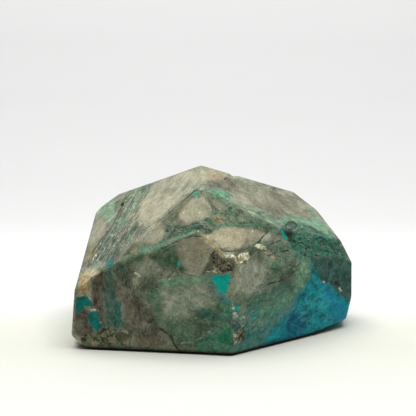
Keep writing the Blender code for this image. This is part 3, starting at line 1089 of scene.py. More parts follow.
def reach(mark, inside):
    """A share for each vertex: a grain ends at a depth of a few of its own widths, a vein runs on."""
    if mark.kind == "line" and mark.mineral in SHEETS:
        return 1.0
    width = 2 * max(inside.max(), LEAST_HALF_WIDTH) / UNITS_PER_MM
    return 1 - smooth_step((depth / width - REACH_WHOLE) / (REACH_END - REACH_WHOLE))


def cover(mineral):
    """How surely a mineral is at each vertex, with all its marks laid together."""
    bare = np.ones(len(spot_on_map))
    for mark in marks:
        if mark.mineral == mineral:
            inside = depth_in_mark(mark, spot_on_map)
            shown = smooth_step(0.5 + inside / mark.soft) * reach(mark, inside)
            bare *= 1 - mark.sure * shown
    return 1 - bare


minerals = sorted({mark.mineral for mark in marks})
fields = {mineral: cover(mineral) for mineral in minerals}
print(len(marks), "marks,", len(minerals), "minerals:", ", ".join(minerals))

# %% [markdown]
# ## The hollows
#
# The hollows are already in the solid, but the material has to know where they are, for their crust.
# The stone before it had hollows was convex, so a convex hull of the solid is the ground surface,
# and what lies deeper than that is hollow. How surely it does becomes one more attribute.

# %% Find the hollows
HOLLOW_START = 0.12
HOLLOW_FULL = 0.5


def convex_cover(node):
    """A tree of the convex shape round a node, as the stone was before its hollows."""
    bm = merged_copy(node)
    extra = bmesh.ops.convex_hull(bm, input=bm.verts)
    loose = of_kind(extra["geom_interior"], bmesh.types.BMVert)
    bmesh.ops.delete(bm, geom=loose, context="VERTS")
    tree = BVHTree.FromBMesh(bm)
    bm.free()
    return tree


ground = convex_cover(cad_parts["stone"])
sunk = np.array([ground.find_nearest(Vector(p))[3] for p in places]) / MM
hollow = smooth_step((sunk - HOLLOW_START) / (HOLLOW_FULL - HOLLOW_START))
fields["hollow"] = hollow
print("hollow vertices:", int((sunk > HOLLOW_FULL).sum()), "deepest:", round(sunk.max(), 2), "mm")

# %% [markdown]
# ## Relief that can be felt
#
# A polished stone still isn't glassy flat. Grinding by hand leaves it slightly wavy, cracks are
# shallow grooves, and the hollows and the druse are rough with crystals, one grain lying lower than
# the next. A Displace modifier could do one of these at a time. Here they are added up first, and
# each vertex moves once, and only inwards, so that nothing stands proud of the ground solid.

# %% Press the skin in
CRACK_DEPTH = 0.12 * MM
POLISH_WAVE = 0.05 * MM
POLISH_SIZE = 7 * MM
HOLLOW_ROUGH = 0.22 * MM
DRUSE_ROUGH = 0.30 * MM
CRYSTAL_SIZE = 0.8 * MM
FOOT_ROUND = 1.6 * MM

skin.normal_update()
inwards = -np.array([v.normal for v in skin.verts])
wave = np.array([noise.noise(Vector(p) / POLISH_SIZE) * 0.5 + 0.5 for p in places])
grain = np.array([noise.cell(Vector(p) / CRYSTAL_SIZE) for p in places])
press = POLISH_WAVE * np.clip(wave, 0, 1) * (1 - hollow)
press += CRACK_DEPTH * fields["crack"] * (1 - hollow)
press += HOLLOW_ROUGH * grain * hollow
press += DRUSE_ROUGH * grain * fields["druse"] * (1 - hollow)
press[places[:, 2] < FOOT_ROUND] = 0
for vertex, move in zip(skin.verts, inwards * press[:, None]):
    vertex.co += Vector(move)
print("deepest press:", round(press.max() / MM, 2), "mm")

# %% [markdown]
# ## A rounded foot
#
# The stone stands on a sawn base whose edge was rubbed round, so a thin dark line shows all round it
# on the table. A bevel would make that of a few flat strips. The slices have left plenty of vertices
# there, so each one near the base draws in towards the middle instead, along a quarter circle.

# %% Round the foot
for vertex in skin.verts:
    below = max(FOOT_ROUND - vertex.co.z, 0) / FOOT_ROUND
    draw_in = FOOT_ROUND * (1 - math.sqrt(1 - below * below))
    flat = Vector((vertex.co.x, vertex.co.y, 0))
    vertex.co -= flat.normalized() * draw_in
print("the foot is rounded over", FOOT_ROUND / MM, "mm")

# %% [markdown]
# ## One material for all the minerals
#
# A separate material for each of some two dozen minerals would need hard borders between faces, and
# these minerals grade into each other. One material starts with the quartz and lays the others over
# it, in about the order that they grew.
#
# A material of this size is easier to write than to wire by hand. The helpers below add one node or
# a few, and return the socket that the next one takes. Colours and values that are plain numbers
# go straight onto a node's own socket.

# %% Node helpers
class Nodes:
    """Adds nodes to one material and joins them."""

    def __init__(self, name):
        self.material = bpy.data.materials.new(name)
        self.material.use_nodes = True
        self.tree = self.material.node_tree
        self.shader = self.tree.nodes["Principled BSDF"]

    def fill(self, socket, value):
        """Joins a link to a socket, or sets its value."""
        if isinstance(value, bpy.types.NodeSocket):
            self.tree.links.new(value, socket)
        else:
            socket.default_value = value

    def node(self, kind, inputs=(), **settings):
        """A node with its settings, and values or links for its inputs."""
        made = self.tree.nodes.new("ShaderNode" + kind)
        for name, value in settings.items():
            setattr(made, name, value)
        for socket, value in dict(inputs).items():
            self.fill(made.inputs[socket], value)
        return made

    def attribute(self, name):
        """A value that the skin holds."""
        return self.node("Attribute", attribute_name=name).outputs["Fac"]

    def maths(self, operation, *values, clamp=False):
        """One sum on up to three values."""
        made = self.node("Math", dict(enumerate(values)), operation=operation, use_clamp=clamp)
        return made.outputs[0]

    def step(self, value, low, high):
        """0 below low, 1 above high, and a smooth rise between."""
        rise = {0: value, 1: low, 2: high}
        return self.node("MapRange", rise, interpolation_type="SMOOTHSTEP").outputs[0]

    def scaled(self, value, to_low, to_high, low=0.0, high=1.0):
        """A value between low and high, brought between two others."""
        return self.node("MapRange", {0: value, 1: low, 2: high, 3: to_low, 4: to_high}).outputs[0]

    def mix(self, share, a, b):
        """Two colours mixed by a share."""
        made = self.node("Mix", {0: share}, data_type="RGBA")
        for socket, value in ((6, a), (7, b)):
            plain = not isinstance(value, bpy.types.NodeSocket)
            self.fill(made.inputs[socket], (*value, 1) if plain else value)
        return made.outputs[2]

    def value_mix(self, share, a, b):
        """Two values mixed by a share."""
        return self.node("Mix", {0: share, 2: a, 3: b}, data_type="FLOAT").outputs[0]

    def times(self, colour, shade):
        """A colour made lighter or darker."""
        both = {0: 1.0, 6: colour, 7: shade}
        return self.node("Mix", both, data_type="RGBA", blend_type="MULTIPLY").outputs[2]


print("node helpers:", ", ".join(name for name in vars(Nodes) if not name.startswith("_")))

# %% [markdown]
# ## Patterns in the stone
#
# Every grain, cloud and thread below is a noise or a cell pattern in the stone's own space, so it
# runs through the edges of the faces as real grain does, and never slides. A pattern is drawn out
# along a turned axis where the mineral has a direction.
#
# A thread is where a noise passes its middle value. That line winds and closes on itself, which a
# wave texture can't do. Two gentle warps stir the place first, so that no pattern looks like the
# noise that it is.

# %% Patterns
THREAD_DETAIL = 4
THREAD_ROUGH = 0.6
NOISE_MIDDLE = 0.5
WARP_DETAIL = 2.0
Pattern = namedtuple("Pattern", "size detail rough seed low high along stretch", defaults=(None, 1.0))


class Paint(Nodes):
    """Patterns in the object's own space, in mm."""

    def __init__(self, name):
        super().__init__(name)
        self.place = self.node("TexCoord").outputs["Object"]

    def laid(self, seed=0.0, along=None, stretch=1.0):
        """The place, shifted by a seed and drawn out along a turned axis on demand."""
        shifted = {"Vector": self.place, "Location": (seed, seed, seed)}
        made = self.node("Mapping", shifted, vector_type="TEXTURE")
        if along:
            made.inputs["Rotation"].default_value = along
            made.inputs["Scale"].default_value = (stretch, 1, 1)
        return made.outputs[0]

    def noise(self, size, detail, rough, seed=0.0, along=None, stretch=1.0):
        """Even noise with features of about a size."""
        laid = {"Vector": self.laid(seed, along, stretch), "Scale": 1 / (size * MM)}
        laid.update({"Detail": detail, "Roughness": rough})
        return self.node("TexNoise", laid).outputs["Fac"]

    def patches(self, pattern):
        """Where a pattern's noise is high: 0 below its low, 1 above its high."""
        size, detail, rough, seed, low, high, along, stretch = pattern
        return self.step(self.noise(size, detail, rough, seed, along, stretch), low, high)

    def cells(self, size, seed=0.0, along=None, stretch=1.0):
        """Fragments of about a size: a tone for each one, and how far a place is from its rim."""
        laid = {"Vector": self.laid(seed, along, stretch), "Scale": 1 / (size * MM)}
        tones = self.node("SeparateColor", {0: self.node("TexVoronoi", laid).outputs["Color"]})
        rims = self.node("TexVoronoi", laid, feature="DISTANCE_TO_EDGE")
        return tones.outputs[0], rims.outputs["Distance"]

    def threads(self, size, width, seed=0.0, along=None, stretch=1.0):
        """Thin winding lines, where a noise passes its middle value."""
        waves = self.noise(size, THREAD_DETAIL, THREAD_ROUGH, seed, along, stretch)
        off_middle = self.maths("ABSOLUTE", self.maths("SUBTRACT", waves, NOISE_MIDDLE))
        return self.step(off_middle, width, 0)

    def warp(self, size, reach):
        """Stirs every pattern that follows, as if the stone had flowed a little."""
        laid = {"Vector": self.place, "Scale": 1 / (size * MM), "Detail": WARP_DETAIL}
        off_middle = {0: self.node("TexNoise", laid).outputs["Color"], 1: (NOISE_MIDDLE,) * 3}
        stir = self.node("VectorMath", off_middle, operation="SUBTRACT").outputs[0]
        moved = {0: stir, 1: (reach * MM,) * 3, 2: self.place}
        self.place = self.node("VectorMath", moved, operation="MULTIPLY_ADD").outputs[0]


print("patterns:", ", ".join(name for name in vars(Paint) if not name.startswith("_")))

# %% [markdown]
# ## The quartz beneath
#
# Under everything lies grey-beige quartz, which is never even. It has clouds of a few millimetres,
# pale streaks combed along the roof, and a breath of chlorite green. A single noise between two
# colours would look like a cloudy sky. Three of them, each at its own size, look like quartz.

# %% Clouds, streaks and chlorite
ROOF_GRAIN = (0, math.radians(-47), math.radians(26))
ROOF_STRETCH = 7.0
CLOUDS = Pattern(5.5, 7, 0.65, 0.0, 0.34, 0.66)
COMBED = Pattern(1.5, 5, 0.62, 0.01, 0.42, 0.68, ROOF_GRAIN, ROOF_STRETCH)
CHLORITE = Pattern(9, 5, 0.6, 0.02, 0.48, 0.70)
QUARTZ_DARK = (0.098, 0.118, 0.077)
QUARTZ_LIGHT = (0.248, 0.262, 0.183)
COMBED_COLOUR = (0.345, 0.343, 0.245)
COMBED_SHARE = 0.32
CHLORITE_COLOUR = (0.095, 0.150, 0.085)
CHLORITE_SHARE = 0.5


def quartz(paint):
    """Grey beige quartz: clouds, streaks and a breath of green."""
    body = paint.mix(paint.patches(CLOUDS), QUARTZ_DARK, QUARTZ_LIGHT)
    streaks = paint.maths("MULTIPLY", paint.patches(COMBED), COMBED_SHARE)
    body = paint.mix(streaks, body, COMBED_COLOUR)
    green = paint.maths("MULTIPLY", paint.patches(CHLORITE), CHLORITE_SHARE)
    return paint.mix(green, body, CHLORITE_COLOUR)


print("quartz clouds are", CLOUDS.size, "mm across")

# %% [markdown]
# ## Panes and healed cracks
#
# The quartz was broken and healed more than once. Each pane between two old cracks is a little
# lighter or darker than the next, and cells with a rim show that at two sizes. Finer threads of
# chlorite and of pale quartz run through all of it, here and there.

# %% Panes and healed cracks
PANES = [(5.0, 0.11, 0.24), (2.0, 0.13, 0.18)]
PANE_STRETCH = 1.8
PANE_RIM = 0.045
PANE_RIM_SHARE = 0.7
PANE_RIM_COLOUR = (0.030, 0.055, 0.034)
HEALED = [
    (4.2, 0.016, 0.04, Pattern(6, 3, 0.5, 0.03, 0.40, 0.62), 0.55, (0.030, 0.050, 0.032)),
    (3.4, 0.014, 0.06, Pattern(7, 3, 0.5, 0.05, 0.46, 0.62), 0.45, (0.420, 0.430, 0.330)),
]


def panes(paint, colour):
    """Broken quartz: each pane between cracks is a little lighter or darker than the next."""
    for size, seed, contrast in PANES:
        tone, rim = paint.cells(size, seed, ROOF_GRAIN, PANE_STRETCH)
        shade = paint.scaled(tone, 1 - contrast, 1 + contrast)
        here = paint.patches(Pattern(size * 1.5, 3, 0.5, seed + 0.01, 0.42, 0.60))
        rims = paint.maths("MULTIPLY", paint.step(rim, PANE_RIM, 0),
                           paint.maths("MULTIPLY", here, PANE_RIM_SHARE))
        colour = paint.mix(rims, paint.times(colour, shade), PANE_RIM_COLOUR)
    return colour


def healed_cracks(paint, colour):
    """Fine winding threads of chlorite and of pale quartz, here and there."""
    for size, width, seed, here, share, tint in HEALED:
        lines = paint.maths("MULTIPLY", paint.threads(size, width, seed), paint.patches(here))
        colour = paint.mix(paint.maths("MULTIPLY", lines, share), colour, tint)
    return colour


print(len(PANES), "sizes of panes,", len(HEALED), "kinds of healed crack")

# %% [markdown]
# ## Veils
#
# A mineral has a dark and a light colour that its own noise mixes, the size of that noise, a fray
# for its rim, an edge and a roughness. A veil has no edge. It shows as far as its attribute is sure,
# and its fray thins and thickens it in patches, as milky quartz does.

# %% Veils
Mineral = namedtuple("Mineral", "name dark light grain fray edge rough")
VEILS = [
    Mineral("smoke", (0.034, 0.027, 0.017), (0.122, 0.100, 0.070), 2.2, 0.9, 0, 0.24),
    Mineral("moss", (0.012, 0.050, 0.022), (0.075, 0.150, 0.080), 2.0, 1.0, 0, 0.25),
    Mineral("milk", (0.290, 0.268, 0.182), (0.405, 0.372, 0.264), 2.6, 0.5, 0, 0.22),
    Mineral("pale quartz", (0.225, 0.250, 0.185), (0.410, 0.430, 0.325), 2.6, 0.7, 0, 0.22),
    Mineral("gloom", (0.008, 0.024, 0.014), (0.052, 0.078, 0.052), 1.3, 1.1, 0, 0.26),
    Mineral("verdigris", (0.010, 0.070, 0.052), (0.060, 0.180, 0.135), 1.8, 0.9, 0, 0.26),
    Mineral("tan", (0.170, 0.115, 0.045), (0.400, 0.300, 0.150), 1.5, 0.8, 0, 0.28),
    Mineral("cream", (0.330, 0.280, 0.150), (0.560, 0.500, 0.310), 1.5, 0.8, 0, 0.28),
    Mineral("turquoise", (0.006, 0.120, 0.112), (0.035, 0.270, 0.245), 1.4, 1.0, 0, 0.26),
    Mineral("umber", (0.012, 0.009, 0.004), (0.120, 0.098, 0.060), 0.9, 0.8, 0, 0.5),
    Mineral("mint", (0.070, 0.175, 0.105), (0.210, 0.330, 0.215), 1.8, 0.8, 0, 0.25),
]
GRAIN_DETAIL = 5
GRAIN_ROUGH = 0.68
GRAIN_RISE = (0.36, 0.64)
VEIL_FRAY = 2.6


def grained(paint, mineral, seed):
    """A mineral's own colour, from its dark to its light."""
    grain = paint.patches(Pattern(mineral.grain, GRAIN_DETAIL, GRAIN_ROUGH, seed, *GRAIN_RISE))
    return paint.mix(grain, mineral.dark, mineral.light)


def veil_share(paint, mineral, fray):
    """A veil shows as far as it is sure, thinned and thickened by the fray."""
    off_middle = paint.maths("SUBTRACT", fray, NOISE_MIDDLE)
    thinned = paint.maths("MULTIPLY_ADD", off_middle, mineral.fray * VEIL_FRAY, 1.0)
    return paint.maths("MULTIPLY", paint.attribute(mineral.name), thinned, clamp=True)


print(len(VEILS), "veils:", ", ".join(veil.name for veil in VEILS))

# %% [markdown]
# ## Solid minerals
#
# A solid mineral is there or it isn't. Its attribute says roughly where its rim is: a fine and a
# broad noise push that rim in and out, and a rise across the half draws it. The edge says how wide
# the rise is, narrow for a chip or a crack and wide for the blues, which fade out. Where the
# attribute is nothing at all nothing shows, however far the fray goes.

# %% Solids
SOLIDS = [
    Mineral("shattuckite", (0.000, 0.078, 0.104), (0.006, 0.305, 0.335), 2.2, 0.6, 0.50, 0.30),
    Mineral("deep blue", (0.000, 0.055, 0.115), (0.000, 0.135, 0.215), 1.6, 0.7, 0.50, 0.30),
    Mineral("bright blue", (0.000, 0.165, 0.260), (0.000, 0.260, 0.370), 1.6, 0.7, 0.50, 0.30),
    Mineral("dark rock", (0.016, 0.056, 0.046), (0.052, 0.130, 0.108), 1.6, 0.9, 0.18, 0.30),
    Mineral("malachite", (0.012, 0.125, 0.064), (0.105, 0.290, 0.170), 0.9, 0.9, 0.26, 0.28),
    Mineral("deep green", (0.004, 0.110, 0.054), (0.020, 0.200, 0.105), 1.0, 0.9, 0.26, 0.28),
    Mineral("teal", (0.000, 0.270, 0.215), (0.000, 0.400, 0.320), 1.2, 0.8, 0.14, 0.32),
    Mineral("dark teal", (0.000, 0.090, 0.074), (0.000, 0.175, 0.142), 1.2, 0.8, 0.14, 0.32),
    Mineral("rust", (0.026, 0.017, 0.010), (0.085, 0.060, 0.038), 0.7, 0.9, 0.24, 0.40),
    Mineral("pale", (0.330, 0.340, 0.240), (0.600, 0.610, 0.460), 0.6, 0.9, 0.26, 0.30),
    Mineral("crack", (0.010, 0.014, 0.009), (0.045, 0.048, 0.032), 0.8, 0.9, 0.26, 0.50),
    Mineral("druse", (0.300, 0.290, 0.160), (1.000, 1.000, 0.740), 1.0, 0.9, 0.20, 0.20),
]
HOLLOW_CRUST = Mineral("hollow", (0.040, 0.034, 0.020), (0.420, 0.400, 0.270), 0.9, 0.5, 0.3, 0.6)
BROAD_SHARE = 0.8
FRAY_MIDDLE = 0.9
RIM_SURE = 0.5
SURE_AT_ALL = 0.1


def solid_share(paint, mineral, fray, broad):
    """A solid mineral shows where it is surer than not, with a fine and a broad fray of its rim."""
    sure = paint.attribute(mineral.name)
    both = paint.maths("ADD", fray, paint.maths("MULTIPLY", broad, BROAD_SHARE))
    off_middle = paint.maths("SUBTRACT", both, FRAY_MIDDLE)
    moved = paint.maths("MULTIPLY_ADD", off_middle, mineral.fray, sure)
    shown = paint.step(moved, RIM_SURE - mineral.edge, RIM_SURE + mineral.edge)
    return paint.maths("MULTIPLY", shown, paint.step(sure, 0, SURE_AT_ALL))


print(len(SOLIDS), "solids:", ", ".join(solid.name for solid in SOLIDS))

# %% [markdown]
# ## Streaks and nets
#
# Each part of the stone that is combed or netted has its own direction, and two to four sets of
# threads: dark ones, green ones and pale ones. One set would look like scratches. Several that cross
# and hide each other look like fibres. A layer is a size, a width, a seed, a direction, how far
# it is drawn out, a share and a colour.

# %% Directions of the grain
BAND_GRAIN = (0, math.radians(-32), math.radians(66))
EYE_GRAIN = (0, math.radians(-30), math.radians(-148))
VEIN_GRAIN = (0, math.radians(-30), math.radians(176))
WALL_GRAIN = (0, math.radians(-78), math.radians(140))
FAN_GRAIN = (0, math.radians(-16), math.radians(171))
RISE_GRAIN = (0, math.radians(-15), math.radians(36))
print("the left band runs at", [round(math.degrees(turn)) for turn in BAND_GRAIN], "degrees")

# %% Streaks and nets
STREAKS = [
    (1.5, 0.035, 0.21, BAND_GRAIN, 8, 0.75, (0.020, 0.026, 0.018)),
    (2.1, 0.030, 0.22, BAND_GRAIN, 7, 0.75, (0.030, 0.036, 0.026)),
    (1.8, 0.030, 0.23, BAND_GRAIN, 6, 0.60, (0.160, 0.300, 0.190)),
    (1.6, 0.022, 0.24, BAND_GRAIN, 8, 0.65, (0.480, 0.480, 0.380)),
]
WALL_STREAKS = [
    (2.2, 0.034, 0.41, WALL_GRAIN, 8, 0.60, (0.018, 0.020, 0.013)),
    (1.4, 0.030, 0.42, WALL_GRAIN, 8, 0.40, (0.230, 0.250, 0.180)),
]
FAN_STREAKS = [
    (2.4, 0.045, 0.43, FAN_GRAIN, 6, 0.45, (0.010, 0.060, 0.035)),
    (1.8, 0.040, 0.44, FAN_GRAIN, 6, 0.35, (0.020, 0.190, 0.095)),
    (1.6, 0.018, 0.45, FAN_GRAIN, 6, 0.45, (0.300, 0.350, 0.240)),
]
RISE_STREAKS = [
    (2.6, 0.040, 0.46, RISE_GRAIN, 6, 0.55, (0.010, 0.055, 0.040)),
    (2.0, 0.036, 0.47, RISE_GRAIN, 6, 0.50, (0.040, 0.230, 0.140)),
    (1.6, 0.022, 0.48, RISE_GRAIN, 5, 0.45, (0.280, 0.380, 0.270)),
]
EYE_STREAKS = [
    (1.6, 0.030, 0.51, EYE_GRAIN, 5, 0.70, (0.004, 0.020, 0.014)),
    (1.5, 0.030, 0.52, EYE_GRAIN, 5, 0.60, (0.065, 0.310, 0.210)),
    (2.2, 0.022, 0.53, EYE_GRAIN, 4, 0.45, (0.300, 0.400, 0.270)),
]
BLUE_STREAKS = [
    (4.0, 0.060, 0.54, RISE_GRAIN, 3, 0.40, (0.000, 0.055, 0.090)),
    (4.5, 0.030, 0.55, EYE_GRAIN, 4, 0.35, (0.010, 0.360, 0.400)),
    (5.0, 0.020, 0.56, RISE_GRAIN, 4, 0.45, (0.090, 0.380, 0.360)),
]
NET = [
    (3.4, 0.034, 0.31, VEIN_GRAIN, 2.0, 0.85, (0.006, 0.030, 0.020)),
    (1.8, 0.040, 0.32, VEIN_GRAIN, 1.5, 0.60, (0.012, 0.045, 0.028)),
    (2.4, 0.030, 0.33, VEIN_GRAIN, 3.0, 0.65, (0.090, 0.270, 0.160)),
    (3.0, 0.020, 0.34, VEIN_GRAIN, 3.0, 0.60, (0.380, 0.400, 0.280)),
]


def threaded(paint, colour, name, layers):
    """Thin dark, green and light threads where the skin says so."""
    for size, width, seed, along, stretch, share, tint in layers:
        lines = paint.threads(size, width, seed, along, stretch)
        here = paint.maths("MULTIPLY", paint.attribute(name), share)
        colour = paint.mix(paint.maths("MULTIPLY", lines, here), colour, tint)
    return colour


print("layers of threads:", sum(map(len, (STREAKS, WALL_STREAKS, FAN_STREAKS, RISE_STREAKS, NET))))

# %% [markdown]
# ## Bands
#
# Round the eye the copper minerals settled in thin bands, from dark green to teal and brown, like
# the rings of an agate. A colour ramp over one stretched noise gives bands that follow each other
# in the same order everywhere, as they did when they settled.

# %% Bands
BAND_SIZE = 1.6
BAND_DETAIL = 5
BAND_ROUGH = 0.62
BAND_SEED = 0.27
BAND_STRETCH = 3.2
BANDS = [
    (0.30, (0.018, 0.072, 0.052)), (0.40, (0.055, 0.160, 0.112)), (0.44, (0.006, 0.030, 0.020)),
    (0.49, (0.065, 0.180, 0.125)), (0.52, (0.055, 0.320, 0.235)), (0.55, (0.014, 0.062, 0.042)),
    (0.59, (0.075, 0.160, 0.100)), (0.63, (0.030, 0.026, 0.014)), (0.70, (0.015, 0.080, 0.055)),
]
SPREAD_FRAY = 0.9
SPREAD_RISE = (0.3, 0.7)


def spread(paint, name, fray, strength):
    """How far a broken or banded mineral shows, with a frayed rim."""
    sure = paint.attribute(name)
    off_middle = paint.maths("SUBTRACT", fray, NOISE_MIDDLE)
    moved = paint.maths("MULTIPLY_ADD", off_middle, SPREAD_FRAY, sure)
    return paint.maths("MULTIPLY", paint.step(moved, *SPREAD_RISE), strength)


def banded(paint, colour, fray):
    """Copper minerals that settled in thin bands, from dark green to teal and brown."""
    layers = paint.noise(BAND_SIZE, BAND_DETAIL, BAND_ROUGH, BAND_SEED, EYE_GRAIN, BAND_STRETCH)
    bands = paint.node("ValToRGB", {0: layers})
    set_stops(bands.color_ramp, BANDS)
    return paint.mix(spread(paint, "bands", fray, 1.0), colour, bands.outputs[0])


print(len(BANDS), "bands of about", BAND_SIZE, "mm")

# %% [markdown]
# ## Clasts
#
# At the left foot the stone is a breccia: angular fragments of several colours, cemented by dark
# mud. A cell pattern gives the fragments and the distance to their rims, each cell's tone chooses
# one colour from a short list, and the gap between them widens where the fray is high.

# %% Clasts
Breccia = namedtuple("Breccia", "name size gap strength between colours")
CLASTS = Breccia("clasts", 2.0, 0.11, 0.85, (0.012, 0.016, 0.009), [
    (0.190, 0.175, 0.105), (0.110, 0.170, 0.090), (0.062, 0.066, 0.038), (0.250, 0.220, 0.145),
    (0.095, 0.155, 0.090), (0.140, 0.150, 0.085),
])
CLAST_SEED = 0.35
CLAST_DETAIL = 4
CLAST_ROUGH = 0.7
CLAST_SHADES = (0.5, 1.5, 0.3, 0.7)
CLAST_CLOSED = -0.06
CLAST_FRAY = (0.4, 0.65)
GAP_SOFT = 0.08


def one_of(paint, tone, colours):
    """One of several colours, by a tone from 0 to 1."""
    made = paint.node("ValToRGB", {0: tone})
    ramp = made.color_ramp
    ramp.interpolation = "CONSTANT"
    while len(ramp.elements) < len(colours):
        ramp.elements.new(1.0)
    for number, colour in enumerate(colours):
        ramp.elements[number].position = number / len(colours)
        ramp.elements[number].color = (*colour, 1)
    return made.outputs[0]


def broken(paint, breccia, colour, fray):
    """Angular fragments in several colours, with dark gaps between them."""
    tone, rim = paint.cells(breccia.size, CLAST_SEED)
    grain = paint.noise(breccia.size / 2, CLAST_DETAIL, CLAST_ROUGH, CLAST_SEED)
    pieces = paint.times(one_of(paint, tone, breccia.colours), paint.scaled(grain, *CLAST_SHADES))
    width = paint.scaled(fray, CLAST_CLOSED, breccia.gap, *CLAST_FRAY)
    gaps = paint.step(paint.maths("SUBTRACT", rim, width), GAP_SOFT, 0)
    pieces = paint.mix(gaps, pieces, breccia.between)
    return paint.mix(spread(paint, breccia.name, fray, breccia.strength), colour, pieces)


print("clasts in", len(CLASTS.colours), "colours")

# %% [markdown]
# ## Mottles, grit and painted shade at the foot
#
# Last come three things that lie over every mineral alike. Mottles make it lighter and darker in
# patches and in fine grain, less so where milk has evened it out. Grit is pin-head specks. And the
# rounded foot is darkened towards the base, as painted shade, which sets the stone down on the paper.

# %% Mottles, grit and painted shade at the foot
MOTTLES = [(2.4, 0.07, 0.92, 1.40, 3.0), (0.6, 0.08, 0.93, 1.21, 2.0)]
MOTTLE_DETAIL = 6
MOTTLE_ROUGH = 0.7
MOTTLE_RISE = (0.3, 0.7)
MILK_EVENS = 0.75
GRITS = [(0.55, 0.58, 0.68, 0.15, 0.62), (0.60, 0.60, 0.70, 0.16, 1.40)]
GRIT_DETAIL = 2
GRIT_ROUGH = 0.5
# Painted shade at the foot: darkest below the first height, gone above the second.
FOOT_SHADE_HEIGHTS = (0.6 * MM, 1.4 * MM)
FOOT_SHADE_LOWEST = 0.06


def mottled(paint, colour):
    """Every mineral a little lighter and darker in patches and in fine grain."""
    for size, seed, dark, light, stretch in MOTTLES:
        grain = paint.noise(size, MOTTLE_DETAIL, MOTTLE_ROUGH, seed, ROOF_GRAIN, stretch)
        shade = paint.scaled(grain, dark, light, *MOTTLE_RISE)
        even = paint.maths("MULTIPLY", paint.attribute("milk"), MILK_EVENS)
        colour = paint.times(colour, paint.value_mix(even, shade, (dark + light) / 2))
    return colour


def gritty(paint, colour):
    """Pin-head specks, darker and lighter than what they lie in."""
    for size, low, high, seed, shade in GRITS:
        specks = paint.patches(Pattern(size, GRIT_DETAIL, GRIT_ROUGH, seed, low, high))
        colour = paint.times(colour, paint.scaled(specks, 1.0, shade))
    return colour


def shade_foot(paint, colour):
    """Painted shade: the colour darkens towards the base, over the rounded lower edge."""
    parts = paint.node("SeparateXYZ", {0: paint.node("TexCoord").outputs["Object"]})
    return paint.times(colour, paint.scaled(parts.outputs["Z"], FOOT_SHADE_LOWEST, 1.0, *FOOT_SHADE_HEIGHTS))


print("painted foot shade up to", FOOT_SHADE_HEIGHTS[1] / MM, "mm above the base")

# %% [markdown]
# ## The layers in their order
#
# The order of the layers is the order of growth, more or less: quartz with its panes, the veils, the
# crust in the hollows, streaks and clasts, and then the solid minerals. The bands come just after
# the dark rock, because they lie in it, and the blue streaks just after the last of the blues. Each
# layer carries its roughness along with its colour, so the two can't get out of step.

# %% Layers
CLOUD_FRAY = (2.6, 7, 0.7, 0.011)
QUARTZ_ROUGH = 0.22
VEIL_SEED = 0.02
SOLID_SEED = 0.04
CRUST_SEED = 0.06
NEXT_SEED = 0.001
STREAKED = [
    ("streaks", STREAKS), ("wall streaks", WALL_STREAKS), ("fan streaks", FAN_STREAKS),
    ("rising streaks", RISE_STREAKS), ("net", NET),
]


def lay(paint, coat, mineral, share, seed):
    """Lays a mineral over a coat, which is a colour and a roughness."""
    colour, rough = coat
    colour = paint.mix(share, colour, grained(paint, mineral, seed))
    return colour, paint.value_mix(share, rough, mineral.rough)


def quartz_and_veils(paint):
    """The coat of quartz, with its panes and healed cracks, and the veils over it."""
    coat = healed_cracks(paint, panes(paint, quartz(paint))), QUARTZ_ROUGH
    fray = paint.noise(*CLOUD_FRAY)
    for number, veil in enumerate(VEILS):
        coat = lay(paint, coat, veil, veil_share(paint, veil, fray), VEIL_SEED + NEXT_SEED * number)
    return coat


def solids(paint, coat, rim_fray, broad_fray):
    """The coat with the solid minerals, the bands and their streaks over it."""
    for number, solid in enumerate(SOLIDS):
        share = solid_share(paint, solid, rim_fray, broad_fray)
        colour, rough = lay(paint, coat, solid, share, SOLID_SEED + NEXT_SEED * number)
        if solid.name == "bright blue":
            colour = threaded(paint, colour, "blue streaks", BLUE_STREAKS)
        if solid.name == "dark rock":
            colour = threaded(paint, banded(paint, colour, rim_fray), "eye streaks", EYE_STREAKS)
        coat = colour, rough
    return coat


print("layers over the quartz:", len(VEILS) + len(STREAKED) + len(SOLIDS) + 2)

# %% [markdown]
# ## The polish, and the whole stone
#
# The polish is a soft one. Pure quartz would shine like glass, but copper minerals stay duller under
# the same felt. So the specular level is small, each mineral has its own roughness, and a bump of
# fine scratches breaks up what gloss is left.

# %% The whole stone
WARPS = [(3.0, 1.6), (0.8, 0.45)]
RIM_FRAY = (0.9, 5, 0.65, 0.013)
BROAD_FRAY = (3.4, 2, 0.5, 0.017)
QUARTZ_IOR = 1.54
SPECULAR = 0.12
SCRATCHES = (0.35, 3, 0.55)
SCRATCH_STRENGTH = 0.12
SCRATCH_DEPTH = 0.02 * MM


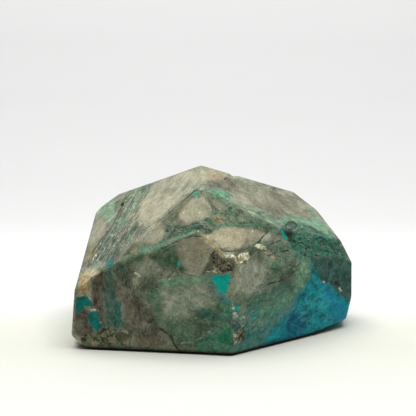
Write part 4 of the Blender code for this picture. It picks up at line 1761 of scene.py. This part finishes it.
def polish(paint):
    """A low polish with fine scratches."""
    paint.shader.inputs["IOR"].default_value = QUARTZ_IOR
    paint.shader.inputs["Specular IOR Level"].default_value = SPECULAR
    scratches = paint.node("Bump", {"Strength": SCRATCH_STRENGTH, "Distance": SCRATCH_DEPTH,
                                    "Height": paint.noise(*SCRATCHES)})
    paint.fill(paint.shader.inputs["Normal"], scratches.outputs[0])


def stone_paint():
    """The whole stone: quartz, veils, solid minerals, the hollows' crust, and the polish."""
    paint = Paint("polished shattuckite")
    for size, reach_mm in WARPS:
        paint.warp(size, reach_mm)
    coat = quartz_and_veils(paint)
    rim_fray = paint.noise(*RIM_FRAY)
    broad_fray = paint.noise(*BROAD_FRAY)
    crusted = solid_share(paint, HOLLOW_CRUST, rim_fray, broad_fray)
    colour, rough = lay(paint, coat, HOLLOW_CRUST, crusted, CRUST_SEED)
    for name, layers in STREAKED:
        colour = threaded(paint, colour, name, layers)
    colour = broken(paint, CLASTS, colour, rim_fray)
    colour, rough = solids(paint, (colour, rough), rim_fray, broad_fray)
    colour = shade_foot(paint, gritty(paint, mottled(paint, colour)))
    paint.fill(paint.shader.inputs["Base Color"], colour)
    paint.fill(paint.shader.inputs["Roughness"], rough)
    polish(paint)
    return paint.material


stone_material = stone_paint()
print(stone_material.name, "has", len(stone_material.node_tree.nodes), "nodes")

# %% [markdown]
# ## Put the stone together
#
# The skin becomes a mesh object now, with one attribute for each mineral. It is shaded smooth, so
# that the waves of the polish and the eased edges show no facets, and an edge stays sharp only
# where the skin turns by more than 50 degrees, as between two crystals.
#
# The stone rides on the root body, because nothing moves, and it stands for the plain solid.

# %% The stone
SHARP_FROM = math.radians(50)

for edge in skin.edges:
    edge.smooth = edge.calc_face_angle(0) < SHARP_FROM
stone = object_from(skin, "polished_stone", stone_material)
for mineral, values in fields.items():
    layer = stone.data.attributes.new(mineral, "FLOAT", "POINT")
    layer.data.foreach_set("value", values.astype(np.float32))
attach(stone, "root")
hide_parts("stone")
print(stone.name, len(stone.data.polygons), "faces,", len(fields), "attributes")

# %% [markdown]
# ## The end of the lesson
#
# The dressed stone has to keep the size of the plain solid.
